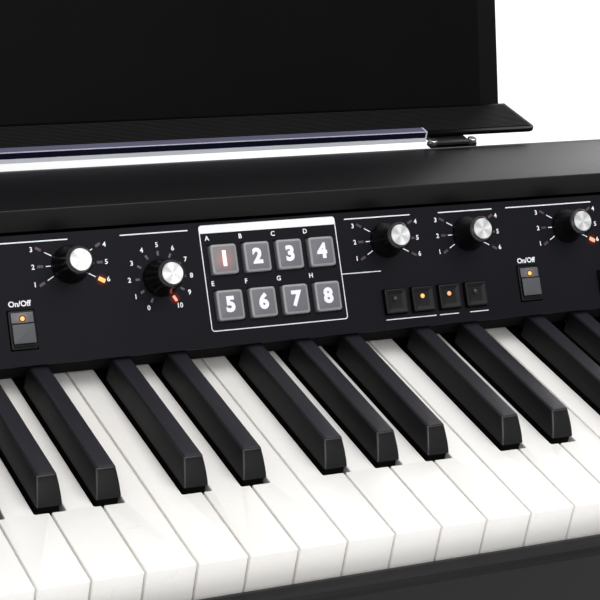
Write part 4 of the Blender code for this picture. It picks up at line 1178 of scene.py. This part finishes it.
def top_outline(arc_steps=14):
    """The top cover's outer line in (y, z), from the return under the fascia to the rear wall's foot."""
    crest = Vector((PANEL_HEAD.y, PANEL_HEAD.z + GROOVE + FASCIA_RISE))
    low = PANEL_HEAD.z + GROOVE
    points = [Vector((crest.x + RETURN_DEPTH, low)), Vector((crest.x + 0.4 * MM, low)),
              Vector((crest.x, low + 0.4 * MM))]
    points += arc((crest.x + CREST_ROUND, crest.y - CREST_ROUND), CREST_ROUND, 180, 90, 4)
    brow = Vector((crest.x + TOP_DEPTH, crest.y - math.tan(TOP_FALL) * TOP_DEPTH))
    centre = brow - Vector((math.sin(TOP_FALL), math.cos(TOP_FALL))) * TOP_ROUND
    points += arc(centre, TOP_ROUND, 90 - math.degrees(TOP_FALL), 90 - math.degrees(BACK_FALL), arc_steps)
    last = points[-1]
    rear_y = CASE_REAR - REAR_ROUND * (1 - math.sin(BACK_FALL))
    rear_z = last.y - (rear_y - last.x) * math.tan(BACK_FALL)
    rear_centre = (CASE_REAR - REAR_ROUND, rear_z - REAR_ROUND * math.cos(BACK_FALL))
    points += arc(rear_centre, REAR_ROUND, 90 - math.degrees(BACK_FALL), 0, arc_steps)
    points.append(Vector((CASE_REAR, CASE_BASE)))
    return points


def top_shell():
    """The bent top cover with its socket window."""
    outer = top_outline()
    inner = inset_line(outer, SHELL_THICK)
    bm = bmesh.new()
    rings = [[Vector((x, y, z)) for y, z in outer + inner[::-1]] for x in (-BOARD_HALF, BOARD_HALF)]
    rows = skin(bm, rings, cap_start=False, cap_end=False)
    count = len(outer)
    for row in rows:
        for number in range(count - 1):
            bm.faces.new((row[number], row[number + 1], row[2 * count - 2 - number],
                          row[2 * count - 1 - number]))
    shell = new_object("top_shell", as_mesh(bm, "top_shell"))
    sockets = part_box("socket_panel")
    low = Vector((sockets[0].x + SOCKET_MARGIN, CASE_REAR - 6 * MM, sockets[0].z + SOCKET_MARGIN))
    high = Vector((sockets[1].x - SOCKET_MARGIN, CASE_REAR + 3 * MM, sockets[1].z - SOCKET_MARGIN))
    window = bmesh.new()
    skin(window, [rounded_ring(low[:2], high[:2], 0.1 * MM, z, 1) for z in (low.z, high.z)])
    cutter = new_object("socket_window", as_mesh(window, "socket_window"))
    cut = shell.modifiers.new("window", "BOOLEAN")
    cut.operation = "DIFFERENCE"
    cut.object = cutter
    result = evaluated_mesh(shell)
    bpy.data.objects.remove(cutter, do_unlink=True)
    finish_piece("top_shell", result, [CASE_BLACK], ["top_cover"], sharp=40)


def cheeks():
    """The moulded end cheeks with their rounded outer edges."""
    slope = [(point.x, point.y + CHEEK_PROUD) for point in top_outline()[3:-1]]
    heel = PANEL_FOOT + OUT * CHEEK_PROUD
    heel_y = heel.y - (heel.z - CHEEK_ARM_TOP) / math.tan(PANEL_TILT)
    arm = arc((CASE_FRONT + CHEEK_ARM_ROUND, CHEEK_ARM_TOP - CHEEK_ARM_ROUND), CHEEK_ARM_ROUND, 180, 90, 10)
    outline = [(CASE_FRONT, CASE_BASE), *arm, (heel_y, CHEEK_ARM_TOP), *slope, (CASE_REAR, CASE_BASE)]
    for name, end in (("cheek_left", 0), ("cheek_right", 1)):
        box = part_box(name)
        bm = bmesh.new()
        drawn_along_x(bm, outline, box[0].x, box[1].x)
        bm.normal_update()
        bevel(bm, [edge for edge in bm.edges
                   if all(abs(vert.co.x - box[end].x) < 1e-6 for vert in edge.verts)], CHEEK_EDGE, 5)
        finish_piece("moulded_" + name, bm, [CASE_BLACK], [name], sharp=40)


def felt_strip():
    """The felt over the key tails, its lower edge rounded by wear."""
    low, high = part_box("felt_strip")
    rounding = FELT_THICK / 2
    lip = arc((high.y - rounding, low.z + rounding), rounding, 180, 360, 8)
    outline = [tuple(point) for point in lip]
    for v in FELT_SEAT:
        seat = PANEL_FOOT + UP * v - OUT * (PANEL_THICK + CLEAR)
        outline.append((seat.y, seat.z))
    bm = bmesh.new()
    drawn_along_x(bm, outline, low.x, high.x)
    strip = finish_piece("pressed_felt_strip", bm, [FELT], ["felt_strip"])


def feet():
    """Rubber treads and rims on the four feet."""
    low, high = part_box("bottom_plate")
    places = [(x, y) for x in (low.x + FOOT_INSET, high.x - FOOT_INSET)
              for y in (CASE_FRONT + FOOT_INSET, CASE_REAR - FOOT_INSET)]
    profile = [(FOOT_RADIUS - 1.4 * MM, 0.0), (FOOT_RADIUS - 0.3 * MM, 0.5 * MM),
               (FOOT_RADIUS + 0.4 * MM, 2.4 * MM), (FOOT_RADIUS + 0.9 * MM, 7.9 * MM)]
    for number, place in enumerate(places):
        bm = bmesh.new()
        skin(bm, round_rings(profile, 40, place))
        finish_piece(f"foot_rubber_{number + 1}", bm, [FOOT_RUBBER], sharp=50)


def jack_collars():
    """Bright collars with dark bores on the jacks of the socket panel."""
    low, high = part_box("socket_panel")
    face = CASE_REAR - SHELL_THICK - CLEAR
    seat = Matrix.Translation((0, face, (low.z + high.z) / 2)) @ Matrix.Rotation(-math.pi / 2, 4, "X")
    places = [(x, 0.0, 0.0, 0.0) for x in JACK_X]
    collar = [(JACK_RADIUS + 0.15 * MM, 0.3 * MM), (JACK_RADIUS + 0.15 * MM, 2.9 * MM),
              (JACK_RADIUS - 0.5 * MM, 3.12 * MM), (JACK_BORE + 0.4 * MM, 3.12 * MM), (JACK_BORE, 3.04 * MM)]
    bore = [(JACK_BORE, 3.03 * MM), (JACK_BORE * 0.5, 3.04 * MM)]
    bm = bmesh.new()
    finishes = [BRIGHT_STEEL, SOCKET_BLACK]
    for number, profile in enumerate((collar, bore)):
        pattern = bmesh.new()
        skin(pattern, round_rings(profile, 32), cap_start=False, cap_end=profile is bore)
        add_mesh(bm, stamped(pattern, places, finishes[number]), seat, number)
    finish_piece("jack_collars", bm, finishes, sharp=40)


# Music desk

def desk_ledge():
    """The ledge: a slab with rounded front corners and a smooth border round its grooved top."""
    low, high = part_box("desk_ledge")
    bm = bmesh.new()
    corner = LEDGE_CORNER
    edge = LEDGE_EDGE
    sunk = high.z - RIB_SUNK
    rings = []
    for z, inward in ((low.z, edge), (low.z + edge * 0.4, edge * 0.3), (low.z + edge, 0.0),
                      (high.z - edge, 0.0), (high.z - edge * 0.4, edge * 0.3), (sunk, edge)):
        ring = rounded_ring((low.x + inward, low.y + inward), (high.x - inward, high.y + corner - inward),
                            corner - inward, z, 6)
        rings.append([Vector((point.x, min(point.y, high.y), point.z)) for point in ring])
    skin(bm, rings)
    side, border = LEDGE_BORDER
    pitch = (high.y - low.y - border - side) / RIB_COUNT
    ribs = run_tree(RIB_ROW, places_mesh([(0, 0, 0, 0)]),
                    {"Count": RIB_COUNT, "Pitch": pitch, "Length": high.x - low.x - 2 * side,
                     "Radius": pitch * 0.42, "Material": LEDGE_BLACK})
    add_mesh(bm, ribs, Matrix.Translation((0, low.y + border + pitch / 2, sunk - pitch * 0.12)), 0)
    finish_piece("grooved_desk_ledge", bm, [LEDGE_BLACK], ["desk_ledge"])


def page_stop():
    """The page stop: a strip of clear plastic drawn opaque, its reflections painted in bands: dark above,
    light in its lip and at its ends.
    """
    low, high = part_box("page_stop")
    front = low.y + STOP_BACK
    rear = high.y - STOP_LIP
    lip = high.z - STOP_LIP_THICK
    half = high.x - STOP_TRIM
    line = 0.4 * MM
    middle = half - 2 * line
    split = low.z + (high.z - low.z) * 0.4
    brow = high.z - line
    whole = [(front, low.z), (rear, low.z), (rear, lip), (high.y, lip), (high.y, high.z), (front, high.z)]
    base = [(front, low.z), (rear, low.z), (rear, split), (front, split)]
    face = [(front, split), (rear, split), (rear, brow), (front, brow)]
    edge = [(front, brow), (front + line, brow), (front + line, high.z), (front, high.z)]
    top = [(front + line, brow), (rear, brow), (rear, lip), (high.y, lip), (high.y, high.z),
           (front + line, high.z)]
    bm = bmesh.new()
    # each band's colour paints the clear plastic's reflection: tinted top, dark face, light lip, light edges
    # and ends
    for outline, x_low, x_high, finish in ((whole, -half, -middle, 2), (whole, middle, half, 2),
                                           (base, -middle, middle, 3), (face, -middle, middle, 1),
                                           (edge, -middle, middle, 2), (top, -middle, middle, 0)):
        drawn_along_x(bm, outline, x_low, x_high, finish)
    finish_piece("banded_page_stop", bm, [STRIP_TOP_PAINTED_REFLECTION, STRIP_PAINTED_DARK_REFLECTION, STRIP_EDGE_PAINTED_HIGHLIGHT, STRIP_LIP_PAINTED_LIGHT],
                 ["page_stop"])


def desk_brackets():
    """The two flat brackets under the ledge, each with a cross bar at the case for its thumb screws."""
    front = KEY_FRONT + BRACKET_END
    for name in BRACKETS:
        low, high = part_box(name)
        bm = bmesh.new()
        block(bm, (low.x - 1.6 * MM, front, low.z), high, 0.8 * MM, 0.4 * MM)
        block(bm, (low.x - BAR_REACH, front, low.z - 0.6 * MM),
              (high.x + BAR_REACH, front + BAR_DEPTH, low.z + BAR_TOP), 0.8 * MM, 0.4 * MM)
        finish_piece("flat_" + name, bm, [STEEL_BLACK], [name])


def bracket_screws():
    """Knurled thumb screws that hold the desk's brackets to the case."""
    pattern = bmesh.new()
    rings = []
    for radius, z, ridge in in_metres([(2.1, 0.0, 0.0), (2.4, 0.1, 0.1), (2.4, 1.5, 0.1), (2.1, 1.8, 0.0),
                                       (1.3, 1.8, 0.0)]):
        ring = round_rings([(radius, z)], KNURLS)[0]
        for step, point in enumerate(ring):
            point.xy *= 1 + (ridge if step % 2 else -ridge) / radius
        rings.append(ring)
    skin(pattern, rings)
    places = []
    for name in BRACKETS:
        low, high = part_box(name)
        for x in (low.x - BAR_REACH / 2, high.x + BAR_REACH / 2):
            places.append((x, KEY_FRONT + BRACKET_END + BAR_DEPTH / 2, low.z + BAR_TOP, 0.0))
    screws = stamped(pattern, places, BRIGHT_STEEL)
    finish_piece("desk_thumb_screws", screws, [BRIGHT_STEEL], sharp=30)


# CAD pieces that keep their own shape

def kept_pieces():
    """Materials for the CAD nodes that show as they are."""
    for name, material in (("bottom_plate", STEEL_BLACK), ("key_slip", CASE_BLACK),
                           ("control_panel", PANEL_BLACK), ("panel_board", BOARD_GREEN),
                           ("socket_panel", STEEL_BLACK), ("desk_plate", DESK_BLACK),
                           ("power_switch", RUBBER)):
        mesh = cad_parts[name].data
        mesh.materials.clear()
        mesh.materials.append(material)


# Studio

def seen_or_mirrored(tree):
    """1 for rays of the camera, of a mirror image and through clear plastic, and 0 for other light."""
    path = tree.nodes.new("ShaderNodeLightPath").outputs
    bent = maths(tree, "MAXIMUM", path["Is Glossy Ray"], path["Is Transmission Ray"])
    return maths(tree, "MAXIMUM", path["Is Camera Ray"], bent)


def studio():
    """Pale floor, soft lamps and the world."""
    material, tree, shader, _ = new_material("pale_floor")
    paint(tree, shader, {"Base Color": (0.80, 0.80, 0.80), "Roughness": 0.9, "Specular IOR Level": 0.1,
                         "Emission Color": (1, 1, 1),
                         "Emission Strength": maths(tree, "MULTIPLY", seen_or_mirrored(tree), 0.35)})
    floor = bmesh.new()
    skin(floor, [rounded_ring((-6, -4), (6, 8), 0.5, z, 4) for z in (-0.02, 0.0)])
    mesh = as_mesh(floor, "floor")
    mesh.materials.append(material)
    new_object("floor", mesh)

    world = bpy.data.worlds.new("studio")
    bpy.context.scene.world = world
    world.use_nodes = True
    tree = world.node_tree
    dim = tree.nodes["Background"]
    paint(tree, dim, {"Color": (1, 1, 1), "Strength": WORLD_LIGHT})
    white = add_node(tree, "ShaderNodeBackground", inputs={"Color": (1, 1, 1), "Strength": 1.0})
    chosen = add_node(tree, "ShaderNodeMixShader", inputs={
        0: seen_or_mirrored(tree), 1: dim.outputs["Background"], 2: white.outputs["Background"]})
    feed(tree, tree.nodes["World Output"].inputs["Surface"], chosen.outputs["Shader"])

    for name, place, target, size, power in LAMPS:
        light = bpy.data.lights.new(name, "AREA")
        light.shape = "RECTANGLE"
        light.size, light.size_y = size
        light.energy = power
        holder = new_object(name, light)
        holder.location = place
        holder.rotation_euler = (Vector(target) - Vector(place)).to_track_quat("-Z", "Y").to_euler()


def camera():
    """The photograph's camera."""
    across = math.cos(EYE_DOWN)
    forward = Vector((-math.sin(EYE_AZIMUTH) * across, math.cos(EYE_AZIMUTH) * across, -math.sin(EYE_DOWN)))
    level = forward.cross(Vector((0, 0, 1))).normalized()
    above = level.cross(forward)
    right = level * math.cos(EYE_ROLL) + above * math.sin(EYE_ROLL)
    upward = above * math.cos(EYE_ROLL) - level * math.sin(EYE_ROLL)
    data = bpy.data.cameras.new("eye")
    data.sensor_width = SENSOR
    data.lens = EYE_LENS
    data.clip_start = 0.05
    data.clip_end = 50
    item = new_object("eye", data)
    item.matrix_world = Matrix.Translation(EYE) @ Matrix((right, upward, -forward)).transposed().to_4x4()
    bpy.context.scene.camera = item

camera()
studio()
keyboard()
key_frame()
knobs()
pads()
square_buttons()
on_off_switches()
panel_lamps()
printing()
top_shell()
cheeks()
felt_strip()
feet()
jack_collars()
desk_ledge()
page_stop()
desk_brackets()
bracket_screws()
kept_pieces()

bpy.context.scene.view_settings.view_transform = "Standard"
